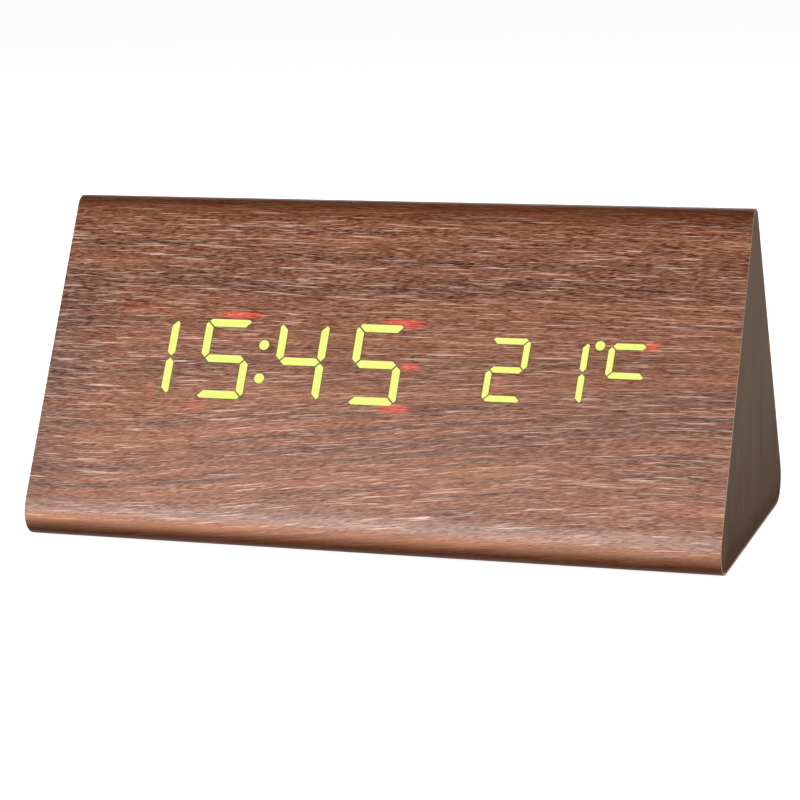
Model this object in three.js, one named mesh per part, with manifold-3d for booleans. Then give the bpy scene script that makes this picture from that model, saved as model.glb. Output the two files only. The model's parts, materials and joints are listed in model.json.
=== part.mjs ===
// A wedge-shaped wooden alarm clock whose figures shine through its film.
// Millimetres, +Z up. X runs along the clock, the lit face looks towards -Y, and the origin is on the
// table under the middle of the case.
//
// The case is a folded tube of three fibreboard panels, wrapped in one sheet of wood-look film. The lit face
// and the rear face each have a frame of their own: x across, y up the slope, z out of the case, with z = 0
// on the outside of the film. The rear frame is the front one turned half a turn about Z.

import * as THREE from 'three';
import { mergeVertices } from 'three/addons/utils/BufferGeometryUtils.js';
import Module from 'manifold-3d';

const wasm = await Module();
wasm.setup();

// Case
const caseLength = 150;
const sharpDepth = 81;            // depth of the base, measured to its corners before they are rounded
const sharpHeight = 73;           // height to the ridge before it is rounded
const baseEdgeRadius = 5.5;
const ridgeRadius = 3.3;
const filmThickness = 0.5;
const boardThickness = 5;
const endBoardThickness = 5;
const endSheetThickness = 0.5;
const glueGap = 0.2;              // between any two pieces that are glued or rest on each other
const mitreGap = 0.2;
const overrun = 1;                // how far a cutting tool passes the faces that it cuts

// Display window, and where its figures stand
const figuresUp = 42.9;           // height of the middle bars, up the slope
const windowMargin = 14;          // from each end of the case to the window
const windowHeight = 27;
const timeInsetShare = 0.0755;    // from the window's left end to the first figure, of the window's length
const timePitchShare = 0.1388;    // from figure to figure of the time, of the window's length
const unitInsetShare = 0.0705;    // from the window's right end to the unit letter, of the window's length

// Figures, as shares of the pitch of the time
const acrossShare = 0.5434;       // between the middles of a figure's left and right bars
const riseShare = 0.4737;         // from the middle bar to the top bar
const strokeShare = 0.101;
const barGapShare = 0.0177;       // between two bars that meet at a corner
const middleGapShare = 0.0133;    // from the middle of a side to the tips that meet there
const colonRiseShare = 0.2202;
const colonDropShare = 0.0195;
const colonDotShare = 0.1312;
const temperaturePitchShare = 0.7324;
const unitPitchShare = 0.7618;    // from the last temperature figure to the unit letter
const unitRiseShare = 0.3546;     // from the middle of the figures up to the unit letter's top bar
const markAcrossShare = 0.3644;   // from the unit letter to the degree mark, to its left
const markDotShare = 0.121;
const temperatureSizeShare = 0.783;   // size of a temperature figure, as a share of a time figure
const timeLeanShare = 0.02;       // sideways lean of a figure, as a share of its height
const temperatureLeanShare = 0.045;
const cornerCutShare = 0.71;      // outer corner cut of a bar, as a share of its stroke

// Display module
const windowClearance = 0.3;
const diffuserThickness = 0.3;
const pocketDepth = 1.6;          // room behind each figure's wells
const pocketMargin = 0.4;
const guideSlabThickness = 0.6;
const guideFit = 0.06;
const wellDraftShare = 0.17;      // how much a well narrows towards its LED, as a share of the stroke
const displayBoardEndLap = 5.5;   // how far the display circuit board reaches past the window's ends
const displayBoardSideLap = 3.5;  // and past its long sides
const circuitThickness = 1.6;
const displayScrewInset = 2.9;    // from the edges of the display circuit board to its screws
const ledLength = 1.6;
const ledWidth = 0.5;
const ledHeight = 0.6;

// Parts on the back of the display circuit board
const chipInset = 44.5;           // from the board's left end
const chipUp = 3;                 // above the board's middle line
const chipLength = 11;
const chipWidth = 7.5;
const chipHeight = 2.2;
const chipStandoff = 0.3;
const legCount = 8;
const legWidth = 0.5;
const legReach = 1.2;
const legThickness = 0.3;
const buzzerInset = 20.5;         // from the board's left end
const buzzerDiameter = 12;
const buzzerHeight = 8.5;
const buzzerHoleDiameter = 2;
const buzzerHoleDepth = 2;
const coinInset = 28.5;           // from the board's right end
const coinDiameter = 12.5;
const coinHeight = 2;
const coinStep = 0.4;
const clipWidth = 4;
const clipThickness = 0.4;
const thermistorInset = 8.5;      // from the board's right end
const thermistorDiameter = 2.4;
const thermistorStandoff = 4;
const thermistorLegSpacing = 1.2;
const wireLegDiameter = 0.5;

// Screws
const screwShankDiameter = 2;
const screwHeadDiameter = 4.2;
const screwHeadHeight = 1.3;
const screwHeadCrown = 0.4;
const screwTip = 1.2;
const screwBite = 3.6;            // how far a screw reaches into fibreboard
const screwHoleClearance = 0.15;
const recessWidth = 0.5;
const recessLength = 2.2;
const recessDepth = 0.7;

// Controls on the rear face
const controlsUp = 35.5;
const buttonPitch = 14;
const buttonDiameter = 6;
const buttonProud = 1;
const buttonCrown = 0.4;
const buttonClearance = 0.25;
const buttonFlangeDiameter = 8.4;
const buttonFlangeThickness = 1;
const buttonTravel = 0.5;
const buttonDimpleDiameter = 3.2;
const buttonDimpleDepth = 0.25;
const switchSide = 6;
const switchHeight = 3.5;
const plungerDiameter = 3.4;
const plungerProud = 0.9;
const plungerLength = 2.5;
const plungerFit = 0.15;
const plungerSlack = 0.1;         // between the plunger and the cap above it
const jackAcross = 29;
const jackNoseDiameter = 8;
const jackNoseClearance = 0.2;
const jackNoseRecess = 0.3;       // how far the nose stays behind the film's face
const jackBodyLength = 10;
const jackBodyWidth = 9;
const jackBoreDiameter = 5.6;
const jackBoreDepth = 9;
const jackPinDiameter = 2;
const jackPinRecess = 1.2;
const microphoneAcross = -26;
const microphoneDiameter = 6;
const microphoneHeight = 2.5;
const microphoneHoleDiameter = 1.6;
const microphoneLegSpacing = 2.5;
const controlBoardReach = 8.5;    // from the row of controls to the upper edge of their circuit board
const controlBoardClearance = 2.45;   // from the battery box up to that board
const controlScrewReach = 8.5;    // from the outermost control to the screw beside it
const controlBoardMargin = 3.2;   // from a screw to the end of the board
const spacerDiameter = 5;

// Batteries, in the base
const cellCount = 4;
const cellSpacing = 0.5;          // between two cells
const cellLength = 44.5;
const cellNubShare = 0.362;       // of a cell's diameter
const cellNubHeight = 1;
const cellEdge = 0.5;
const cellGap = 0.25;             // round a cell in its channel
const springRoom = 5.5;           // from an end wall of the bay to a cell's flat end
const boxWall = 1.7;
const boxRoof = 1.5;
const boxClearance = 0.3;         // round the box in the base board
const boxSideClearance = 1.97;    // from the upper edges of the box to the sloping boards
const contactThickness = 0.4;
const contactSpacing = 3.5;       // between the contacts of two cells side by side
const contactInset = 0.75;        // from the top and bottom of a cell to its contact's edges
const contactBump = 1.1;
const contactBumpDiameter = 3;
const tabWidth = 2.4;
const tabReach = 2.2;
const springWire = 0.7;
const springBaseShare = 0.629;    // of a cell's diameter
const springTipShare = 0.4;
const springTurns = 3;

// Battery door
const doorThickness = 2;
const doorRecess = 0.2;           // how far the door stays above the table
const doorClearance = 0.3;
const hingePinDiameter = 1.6;
const hingePinReach = 1;
const hingePinFit = 0.15;
const tongueWidth = 13;
const tongueLength = 9;
const tongueSlit = 0.8;
const catchHeight = 0.9;
const catchThickness = 1.1;
const grooveCount = 5;
const groovePitch = 1.6;
const grooveWidth = 0.8;
const grooveDepth = 0.5;
const grooveLength = 10;

// Leads
const leadDiameter = 1.3;
const leadGap = 0.3;
const leadInset = 4.25;           // from the lower edge of the control board to the leads' ends
const ribbonThickness = 0.8;
const ribbonWidth = 12;
const ribbonAcross = 4;
const ribbonStub = 8;

// Smoothness of round forms
const arcSteps = 5;
const roundSides = 24;
const smallSides = 12;
const springSteps = 8;
const springSides = 5;
const leadSides = 8;
const leadSteps = 13;
const ribbonSteps = 14;

// Places that follow from the sizes above
const lean = Math.atan2(sharpDepth / 2, sharpHeight);
const baseAngle = Math.PI / 2 - lean;
const boardFront = -filmThickness - glueGap;
const boardBack = boardFront - boardThickness;
const endSheetInner = caseLength / 2 - endSheetThickness;
const endBoardOuter = endSheetInner - glueGap;
const endBoardInner = endBoardOuter - endBoardThickness;
const panelReach = endBoardInner - glueGap;
const windowLength = caseLength - 2 * windowMargin;
const timePitch = windowLength * timePitchShare;
const displayBoardLength = windowLength + 2 * displayBoardEndLap;
const displayBoardHeight = windowHeight + 2 * displayBoardSideLap;

// The three edges of the wedge: the corner, its radius, the angle inside it and the way inwards from it.
const baseEdge = { z: 0, radius: baseEdgeRadius, inside: baseAngle };
const frontEdge = { ...baseEdge, y: -sharpDepth / 2, inward: baseAngle / 2 };
const rearEdge = { ...baseEdge, y: sharpDepth / 2, inward: Math.PI - baseAngle / 2 };
const ridge = { y: 0, z: sharpHeight, radius: ridgeRadius, inside: 2 * lean, inward: -Math.PI / 2 };

// Finishes
const finish = (color, roughness, metalness = 0) => (
  new THREE.MeshStandardMaterial({ color, roughness, metalness }));
const walnutFilm = finish(0x7b5341, 0.5);
const endSheet = finish(0x5f5347, 0.8);
const fibreboard = finish(0xa98a62, 0.9);
const blackPlastic = finish(0x1c1c1e, 0.5);
const whitePlastic = finish(0xe9e9e4, 0.5);
const frostedSheet = finish(0xf2f2ee, 0.6);
const lightGuide = finish(0xdfe8b8, 0.3);
const greenBoard = finish(0x1f5a3a, 0.5);
const steel = finish(0xb9bcc0, 0.3, 1);
const cellJacket = finish(0x2c3c5c, 0.4);
const redSleeve = finish(0xa82020, 0.5);
const blackSleeve = finish(0x181818, 0.5);
const greySleeve = finish(0x8f949a, 0.5);

// Turns a closed geometry into a solid that can be joined and cut.
function solid(geometry) {
  const bare = geometry.clone();
  bare.deleteAttribute('normal');
  bare.deleteAttribute('uv');
  const merged = mergeVertices(bare);
  const vertProperties = new Float32Array(merged.attributes.position.array);
  const triVerts = new Uint32Array(merged.index.array);
  return new wasm.Manifold(new wasm.Mesh({ numProp: 3, vertProperties, triVerts }));
}

// Gives a joined or cut solid back as a geometry with flat faces.
function faceted(body) {
  const { vertProperties, triVerts } = body.getMesh();
  const indexed = new THREE.BufferGeometry();
  indexed.setAttribute('position', new THREE.BufferAttribute(new Float32Array(vertProperties), 3));
  indexed.setIndex(new THREE.BufferAttribute(new Uint32Array(triVerts), 1));
  const geometry = indexed.toNonIndexed();
  geometry.computeVertexNormals();
  return geometry;
}

function cut(geometry, tools) {
  return faceted(tools.reduce((body, tool) => body.subtract(solid(tool)), solid(geometry)));
}

function join(geometries) {
  const [first, ...rest] = geometries.map(solid);
  return faceted(rest.reduce((body, other) => body.add(other), first));
}

function piece(name, geometry, material) {
  const mesh = new THREE.Mesh(geometry, material.clone());
  mesh.name = name;
  return mesh;
}

// A block between two values along each axis.
function block([x0, x1], [y0, y1], [z0, z1]) {
  const geometry = new THREE.BoxGeometry(x1 - x0, y1 - y0, z1 - z0);
  return geometry.translate((x0 + x1) / 2, (y0 + y1) / 2, (z0 + z1) / 2);
}

// A span of the given width about a centre.
const span = (centre, width) => [centre - width / 2, centre + width / 2];

// Round rods along each axis, between two values.
function rodZ(diameter, [z0, z1], x, y, sides = roundSides) {
  const geometry = new THREE.CylinderGeometry(diameter / 2, diameter / 2, z1 - z0, sides);
  return geometry.rotateX(Math.PI / 2).translate(x, y, (z0 + z1) / 2);
}

function rodX(diameter, [x0, x1], y, z, sides = roundSides) {
  const geometry = new THREE.CylinderGeometry(diameter / 2, diameter / 2, x1 - x0, sides);
  return geometry.rotateZ(Math.PI / 2).translate((x0 + x1) / 2, y, z);
}

function rodY(diameter, [y0, y1], x, z, sides = smallSides) {
  const geometry = new THREE.CylinderGeometry(diameter / 2, diameter / 2, y1 - y0, sides);
  return geometry.translate(x, (y0 + y1) / 2, z);
}

// A turned form about the Z axis. The profile is a list of radius and height, from the axis back to the axis.
function turned(profile, sides = roundSides) {
  const geometry = new THREE.LatheGeometry(profile.map(([radius, z]) => new THREE.Vector2(radius, z)), sides);
  return geometry.rotateX(Math.PI / 2);
}

// An outline in Y and Z carried along X.
function alongX(shape, [x0, x1]) {
  const options = { depth: x1 - x0, bevelEnabled: false, curveSegments: arcSteps };
  const geometry = new THREE.ExtrudeGeometry(shape, options);
  const yzOntoX = new THREE.Matrix4().makeBasis(
    new THREE.Vector3(0, 1, 0), new THREE.Vector3(0, 0, 1), new THREE.Vector3(1, 0, 0));
  return geometry.applyMatrix4(yzOntoX).translate(x0, 0, 0);
}

// The frames of the two sloping faces.
const frontFace = new THREE.Group();
frontFace.rotation.x = baseAngle;
frontFace.position.y = -sharpDepth / 2;
const rearFace = frontFace.clone();
const halfTurn = new THREE.Group();
halfTurn.rotation.z = Math.PI;
halfTurn.add(rearFace);
frontFace.updateMatrixWorld(true);
halfTurn.updateMatrixWorld(true);
const placedOn = (face, geometry) => geometry.applyMatrix4(face.matrixWorld);

// The point on a corner's middle line that lies a given distance inside both faces that meet there.
function insideEdge(edge, distance) {
  const reach = distance / Math.sin(edge.inside / 2);
  return new THREE.Vector2(edge.y + reach * Math.cos(edge.inward), edge.z + reach * Math.sin(edge.inward));
}

// Half the angle that the outline turns through at an edge.
const halfBend = (edge) => (Math.PI - edge.inside) / 2;

// The rounded triangle of the case, moved inwards by an inset. The arcs keep their centres.
function wedgeOutline(inset) {
  const outline = new THREE.Shape();
  for (const edge of [frontEdge, rearEdge, ridge]) {
    const centre = insideEdge(edge, edge.radius);
    const outwards = edge.inward + Math.PI;
    const [from, to] = [outwards - halfBend(edge), outwards + halfBend(edge)];
    outline.absarc(centre.x, centre.y, edge.radius - inset, from, to, false);
  }
  return outline;
}

// One panel of the folded tube: half of each rounded edge outside, and mitres along the middle lines.
function panelOutline(startEdge, endEdge, faceAngle) {
  const outline = new THREE.Shape();
  const trim = (edge) => Math.asin(mitreGap / 2 / (edge.radius + boardFront));
  const start = insideEdge(startEdge, startEdge.radius);
  const from = faceAngle - halfBend(startEdge) + trim(startEdge);
  outline.absarc(start.x, start.y, startEdge.radius + boardFront, from, faceAngle, false);
  const end = insideEdge(endEdge, endEdge.radius);
  const to = faceAngle + halfBend(endEdge) - trim(endEdge);
  outline.absarc(end.x, end.y, endEdge.radius + boardFront, faceAngle, to, false);
  const along = new THREE.Vector2(-Math.sin(faceAngle), Math.cos(faceAngle));
  const shift = (edge) => mitreGap / 2 / Math.sin(edge.inside / 2);
  const innerEnd = insideEdge(endEdge, -boardBack).addScaledVector(along, -shift(endEdge));
  const innerStart = insideEdge(startEdge, -boardBack).addScaledVector(along, shift(startEdge));
  outline.lineTo(innerEnd.x, innerEnd.y);
  outline.lineTo(innerStart.x, innerStart.y);
  return outline;
}

// Battery bay: channels for the cells, open towards the table. The cells are as thick as the sloping
// boards leave room for: a thicker cell makes the box both deeper and higher.
const doorTop = doorRecess + doorThickness;
const belowCells = doorTop + doorClearance;
const aboveCells = cellGap + boxRoof;
const besideCells = (cellCount * cellSpacing + cellGap) / 2 + boxWall + boxSideClearance;
const boardsRun = -boardBack / Math.cos(lean);
const slopeRun = (belowCells + aboveCells) * Math.tan(lean);
const cellRoom = sharpDepth / 2 - boardsRun - slopeRun - besideCells;
const cellDiameter = cellRoom / (cellCount / 2 + Math.tan(lean));
const cellPitch = cellDiameter + cellSpacing;
const contactWidth = cellPitch - contactSpacing;
const contactHeight = cellDiameter - 2 * contactInset;
const plateRoom = contactThickness + contactBump + 2 * glueGap;
const bayLength = cellLength + springRoom + plateRoom;
const bayDepth = cellCount * cellPitch + cellGap;
const boxLength = bayLength + 2 * boxWall;
const boxDepth = bayDepth + 2 * boxWall;
const cellAxisHeight = belowCells + cellDiameter / 2;
const boxTop = belowCells + cellDiameter + aboveCells;
const cellPlaces = Array.from({ length: cellCount }, (_, i) => (i - (cellCount - 1) / 2) * cellPitch);

function baseOpening() {
  const length = span(0, boxLength + 2 * boxClearance);
  const depth = span(0, boxDepth + 2 * boxClearance);
  return block(length, depth, [-overrun, -boardBack + overrun]);
}

// Controls: how far behind the film's face each layer lies.
const flangeTop = boardBack - glueGap;
const flangeBottom = flangeTop - buttonFlangeThickness;
const plungerTop = flangeBottom - plungerSlack;
const switchTop = plungerTop - plungerProud;
const switchBottom = switchTop - switchHeight;
const controlBoardFront = switchBottom - glueGap;
const controlBoardBack = controlBoardFront - circuitThickness;
const controlBoardLow = (boxTop + controlBoardClearance - controlBoardBack * Math.sin(lean)) / Math.cos(lean);
const controlScrews = [microphoneAcross - controlScrewReach, jackAcross + controlScrewReach];
const controlRange = [controlScrews[0] - controlBoardMargin, controlScrews[1] + controlBoardMargin];
const buttons = [['set', -buttonPitch], ['up', 0], ['down', buttonPitch]];
const boreThrough = [boardBack - overrun, overrun];

// Holes through film and rear board for the caps, the socket's nose and the sound.
function rearHoles() {
  const capHole = buttonDiameter + 2 * buttonClearance;
  const noseHole = jackNoseDiameter + 2 * jackNoseClearance;
  const holes = buttons.map(([, across]) => rodZ(capHole, boreThrough, across, controlsUp));
  holes.push(rodZ(noseHole, boreThrough, jackAcross, controlsUp));
  holes.push(rodZ(microphoneHoleDiameter, boreThrough, microphoneAcross, controlsUp, smallSides));
  return holes.map((hole) => placedOn(rearFace, hole));
}

function pilotHole(across, up, face) {
  const depth = [boardBack - overrun, boardBack + screwBite + screwHoleClearance];
  return placedOn(face, rodZ(screwShankDiameter + 2 * screwHoleClearance, depth, across, up, smallSides));
}

const screwPlaces = [-1, 1].flatMap((side) => [-1, 1].map((row) => [
  side * (displayBoardLength / 2 - displayScrewInset),
  figuresUp + row * (displayBoardHeight / 2 - displayScrewInset),
]));

// The case: film, three panels, two end boards with their sheets.
function makeCase() {
  const pieces = [];
  const film = wedgeOutline(0);
  film.holes.push(wedgeOutline(filmThickness));
  const wrap = alongX(film, span(0, caseLength));
  pieces.push(piece('veneer_wrap', cut(wrap, [...rearHoles(), baseOpening()]), walnutFilm));

  const panel = (...edges) => alongX(panelOutline(...edges), span(0, 2 * panelReach));
  const window = block(span(0, windowLength), span(figuresUp, windowHeight), boreThrough);
  const displayPilots = screwPlaces.map(([across, up]) => pilotHole(across, up, frontFace));
  const controlPilots = controlScrews.map((across) => pilotHole(across, controlsUp, rearFace));
  const front = cut(panel(ridge, frontEdge, Math.PI - lean), [placedOn(frontFace, window), ...displayPilots]);
  const rear = cut(panel(rearEdge, ridge, lean), [...rearHoles(), ...controlPilots]);
  const base = cut(panel(frontEdge, rearEdge, -Math.PI / 2), [baseOpening()]);
  pieces.push(piece('front_board', front, fibreboard));
  pieces.push(piece('rear_board', rear, fibreboard));
  pieces.push(piece('base_board', base, fibreboard));

  const inside = () => wedgeOutline(filmThickness + glueGap);
  const ends = { left: [-endBoardOuter, -caseLength / 2], right: [endBoardInner, endSheetInner] };
  for (const [side, [board, sheet]] of Object.entries(ends)) {
    const boardSolid = alongX(inside(), [board, board + endBoardThickness]);
    const sheetSolid = alongX(inside(), [sheet, sheet + endSheetThickness]);
    pieces.push(piece(`${side}_end_board`, boardSolid, fibreboard));
    pieces.push(piece(`${side}_end_veneer`, sheetSolid, endSheet));
  }
  return pieces;
}

// The seven bars of a figure about its own centre, each an outline of six points. Bars meet at the corners
// in mitres of 45 degrees, and the outer corner is cut off square to the mitre. Where they meet halfway up,
// they end in square points.
function figureBars([stroke, across, rise, barGap, middleGap], leanShare) {
  const cornerCut = stroke * cornerCutShare;
  const gap = barGap / Math.SQRT2;
  const half = stroke / 2;
  const side = across / 2 + half;
  const top = rise + half;
  const blunt = middleGap + half;
  const flat = [
    [-side + cornerCut, top], [-side + (cornerCut + gap) / 2, top - (cornerCut - gap) / 2],
    [-side + stroke + gap, top - stroke], [side - stroke - gap, top - stroke],
    [side - (cornerCut + gap) / 2, top - (cornerCut - gap) / 2], [side - cornerCut, top],
  ];
  const upright = [
    [-side, top - cornerCut], [-side, blunt], [-side + half, middleGap], [-side + stroke, blunt],
    [-side + stroke, top - stroke - gap], [-side + (cornerCut - gap) / 2, top - (cornerCut + gap) / 2],
  ];
  const tip = across / 2 - middleGap;
  const middle = [
    [-tip, 0], [-tip + half, -half], [tip - half, -half],
    [tip, 0], [tip - half, half], [-tip + half, half],
  ];
  const mirrored = (points, x, y) => {
    const copy = points.map(([px, py]) => [px * x, py * y]);
    return x * y < 0 ? copy.reverse() : copy;
  };
  const leaning = (points) => points.map(([x, y]) => new THREE.Vector2(x + y * leanShare, y));
  return {
    top: leaning(flat),
    bottom: leaning(mirrored(flat, 1, -1)),
    middle: leaning(middle),
    upperLeft: leaning(upright),
    upperRight: leaning(mirrored(upright, -1, 1)),
    lowerLeft: leaning(mirrored(upright, 1, -1)),
    lowerRight: leaning(mirrored(upright, -1, -1)),
  };
}

// A round dot as an outline.
function dotOutline(diameter, x, y) {
  const circle = new THREE.Path().absarc(x, y, diameter / 2, 0, 2 * Math.PI, false);
  return circle.getPoints(smallSides / 2).slice(0, -1);
}

// A convex outline with every side moved outwards by a distance, or inwards if it is negative.
function grown(outline, distance) {
  const count = outline.length;
  const sides = outline.map((point, i) => {
    const along = outline[(i + 1) % count].clone().sub(point).normalize();
    const outward = new THREE.Vector2(along.y, -along.x);
    return { point: point.clone().addScaledVector(outward, distance), along };
  });
  return sides.map((side, i) => {
    const before = sides[(i + count - 1) % count];
    const turn = before.along.cross(side.along);
    const reach = side.point.clone().sub(before.point).cross(side.along) / turn;
    return before.point.clone().addScaledVector(before.along, reach);
  });
}

// A solid between two outlines with the same number of points, one at each height.
function loft(lower, lowerZ, upper, upperZ) {
  const count = lower.length;
  const raised = (outline, z) => outline.flatMap((point) => [point.x, point.y, z]);
  const positions = [...raised(lower, lowerZ), ...raised(upper, upperZ)];
  const index = [];
  for (let i = 0; i < count; i += 1) {
    const next = (i + 1) % count;
    index.push(i, next, count + next, i, count + next, count + i);
  }
  for (let i = 1; i < count - 1; i += 1) {
    index.push(0, i + 1, i, count, count + i, count + i + 1);
  }
  const geometry = new THREE.BufferGeometry();
  geometry.setAttribute('position', new THREE.Float32BufferAttribute(positions, 3));
  geometry.setIndex(index);
  return geometry;
}

function counterClockwise(outline) {
  return THREE.ShapeUtils.isClockWise(outline) ? [...outline].reverse() : outline;
}

// One cell of the display: the outlines that light up, moved to their place on the face, and how wide
// their strokes are.
function displayCell(name, across, up, outlines, stroke) {
  const centre = new THREE.Vector2(across, up);
  const moved = (outline) => outline.map((point) => point.clone().add(centre));
  return { name, outlines: outlines.map((outline) => counterClockwise(moved(outline))), stroke };
}

function displayCells() {
  const ofPitch = (...shares) => shares.map((share) => timePitch * share);
  const form = ofPitch(strokeShare, acrossShare, riseShare, barGapShare, middleGapShare);
  const smallForm = form.map((size) => size * temperatureSizeShare);
  const [timeStroke, temperatureStroke] = [form[0], smallForm[0]];
  const timeBars = Object.values(figureBars(form, timeLeanShare));
  const smallFigure = figureBars(smallForm, temperatureLeanShare);
  const temperatureBars = Object.values(smallFigure);

  const timeFirst = -windowLength / 2 + windowLength * timeInsetShare;
  const cells = ['hours_tens', 'hours_units', 'minutes_tens', 'minutes_units'].map((name, i) => (
    displayCell(name, timeFirst + i * timePitch, figuresUp, timeBars, timeStroke)));
  const [dot, colonRise, colonDrop] = ofPitch(colonDotShare, colonRiseShare, colonDropShare);
  const colon = [dotOutline(dot, 0, colonRise), dotOutline(dot, 0, -colonRise)];
  cells.push(displayCell('colon', timeFirst + 1.5 * timePitch, figuresUp - colonDrop, colon, dot));

  const unitAcross = windowLength / 2 - windowLength * unitInsetShare;
  const [unitPitch, smallPitch, unitRise] = ofPitch(unitPitchShare, temperaturePitchShare, unitRiseShare);
  const lastAcross = unitAcross - unitPitch;
  const places = [['temperature_tens', lastAcross - smallPitch], ['temperature_units', lastAcross]];
  for (const [name, across] of places) {
    cells.push(displayCell(name, across, figuresUp, temperatureBars, temperatureStroke));
  }

  // The unit letter is the lower half of a raised figure, with the degree mark beside its top bar.
  const [markDot, markAcross] = ofPitch(markDotShare, markAcrossShare);
  const { middle, lowerLeft, bottom } = smallFigure;
  const unitOutlines = [middle, lowerLeft, bottom, dotOutline(markDot, -markAcross, 0)];
  cells.push(displayCell('celsius', unitAcross, figuresUp + unitRise, unitOutlines, temperatureStroke));
  return cells;
}

// The rectangle behind a cell's outlines, with a margin.
function pocketOf(cell, margin) {
  const bounds = new THREE.Box2().setFromPoints(cell.outlines.flat()).expandByScalar(margin);
  return [[bounds.min.x, bounds.max.x], [bounds.min.y, bounds.max.y]];
}

const diffuserFront = boardFront;
const diffuserBack = diffuserFront - diffuserThickness;
const reflectorFront = diffuserBack - glueGap;
const pocketFloor = boardBack + pocketDepth;
const displayBoardFront = boardBack - glueGap;
const displayBoardBack = displayBoardFront - circuitThickness;

// The reflector is one block. Each bar has a well that narrows towards its LED, and behind each figure the
// wells open into one pocket, where the figure's light guide sits.
function makeReflector(cells, length, height) {
  const tools = [];
  for (const cell of cells) {
    tools.push(block(...pocketOf(cell, pocketMargin), [boardBack - overrun, pocketFloor]));
    const draft = cell.stroke * wellDraftShare;
    for (const outline of cell.outlines) {
      const spread = draft / (reflectorFront - pocketFloor);
      const narrow = grown(outline, -draft - spread * overrun);
      const wide = grown(outline, spread * overrun);
      tools.push(loft(narrow, pocketFloor - overrun, wide, reflectorFront + overrun));
    }
  }
  return cut(block(length, height, [boardBack, reflectorFront]), tools);
}

// A cast light guide: a slab in the pocket, and a bar in each well that ends level with the block's front.
function makeGuide(cell) {
  const slab = [pocketFloor - guideFit - guideSlabThickness, pocketFloor - guideFit];
  const draft = cell.stroke * wellDraftShare;
  const spread = draft / (reflectorFront - pocketFloor);
  const root = slab[0] + guideSlabThickness / 2;
  const bars = cell.outlines.map((outline) => {
    const narrow = grown(outline, -guideFit - draft - spread * (pocketFloor - root));
    return loft(narrow, root, grown(outline, -guideFit), reflectorFront);
  });
  return join([block(...pocketOf(cell, pocketMargin - guideFit), slab), ...bars]);
}

// The display circuit board, with one LED behind each bar, turned along it.
function makeDisplayBoard(cells) {
  const layer = [displayBoardBack, displayBoardFront];
  const board = block(span(0, displayBoardLength), span(figuresUp, displayBoardHeight), layer);
  const leds = cells.flatMap((cell) => cell.outlines.map((outline) => {
    const bounds = new THREE.Box2().setFromPoints(outline);
    const size = bounds.getSize(new THREE.Vector2());
    const middle = bounds.getCenter(new THREE.Vector2());
    const [width, height] = size.x > size.y ? [ledLength, ledWidth] : [ledWidth, ledLength];
    const layers = [displayBoardFront - circuitThickness / 2, displayBoardFront + ledHeight];
    return block(span(middle.x, width), span(middle.y, height), layers);
  }));
  const holeDiameter = screwShankDiameter + 2 * screwHoleClearance;
  const holeSpan = [displayBoardBack - overrun, displayBoardFront + overrun];
  const holes = screwPlaces.map(([across, up]) => rodZ(holeDiameter, holeSpan, across, up, smallSides));
  return cut(join([board, ...leds]), holes);
}

// A pan-head screw driven outwards: its head's underside is at height 0 and its tip points to +Z.
function makeScrew(shankLength) {
  const head = screwHeadDiameter / 2;
  const shank = screwShankDiameter / 2;
  const body = turned([
    [0, -screwHeadHeight], [head - screwHeadCrown, -screwHeadHeight],
    [head, -screwHeadHeight + screwHeadCrown], [head, 0],
    [shank, 0], [shank, shankLength - screwTip], [0, shankLength],
  ], smallSides);
  const depth = [-screwHeadHeight - overrun, -screwHeadHeight + recessDepth];
  const slots = [[recessLength, recessWidth], [recessWidth, recessLength]];
  return cut(body, slots.map(([x, y]) => block(span(0, x), span(0, y), depth)));
}

// A chip with legs that step down to the board, which is at height 0. Its top points to -Z.
function makeChip() {
  const body = block(span(0, chipLength), span(0, chipWidth), [-chipStandoff - chipHeight, -chipStandoff]);
  const shoulder = -chipStandoff - chipHeight / 2;
  const root = chipWidth / 2 - legThickness;
  const knee = chipWidth / 2 + legReach;
  const bent = [
    [root, shoulder], [knee - legThickness, shoulder], [knee - legThickness, 0],
    [knee, 0], [knee, shoulder - legThickness], [root, shoulder - legThickness],
  ];
  const legPitch = chipLength / legCount;
  const legs = [-1, 1].flatMap((side) => {
    const outline = new THREE.Shape(bent.map(([y, z]) => new THREE.Vector2(side * y, z)));
    const places = Array.from({ length: legCount }, (_, i) => (i - (legCount - 1) / 2) * legPitch);
    return places.map((x) => alongX(outline, span(x, legWidth)));
  });
  return join([body, ...legs]);
}

// A round buzzer that stands on the board at height 0, with its sound hole at the far end.
function makeBuzzer() {
  const r = buzzerDiameter / 2;
  const hole = buzzerHoleDiameter / 2;
  return turned([
    [0, -buzzerHeight + buzzerHoleDepth], [hole, -buzzerHeight + buzzerHoleDepth], [hole, -buzzerHeight],
    [r, -buzzerHeight], [r, 0], [0, 0],
  ]);
}

function makeCoinCell() {
  const r = coinDiameter / 2;
  return turned([
    [0, -coinHeight], [r - coinStep, -coinHeight], [r - coinStep, -coinHeight / 2],
    [r, -coinHeight / 2], [r, 0], [0, 0],
  ]);
}

// A sprung strap over the coin cell with a foot at each side.
function makeCoinClip() {
  const inner = coinDiameter / 2 + glueGap;
  const outer = inner + clipThickness;
  const under = -glueGap - coinHeight - glueGap;
  const width = span(0, clipWidth);
  const strap = block([-outer, outer], width, [under - clipThickness, under]);
  const legs = [[-outer, -inner], [inner, outer]].map((x) => block(x, width, [under - clipThickness, 0]));
  return join([strap, ...legs]);
}

function makeThermistor() {
  const bead = new THREE.SphereGeometry(thermistorDiameter / 2, leadSides, leadSides / 2);
  bead.translate(0, 0, -thermistorStandoff);
  const legSpan = [-thermistorStandoff, 0];
  const legs = span(0, thermistorLegSpacing).map((x) => rodZ(wireLegDiameter, legSpan, x, 0, smallSides / 2));
  return join([bead, ...legs]);
}

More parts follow.
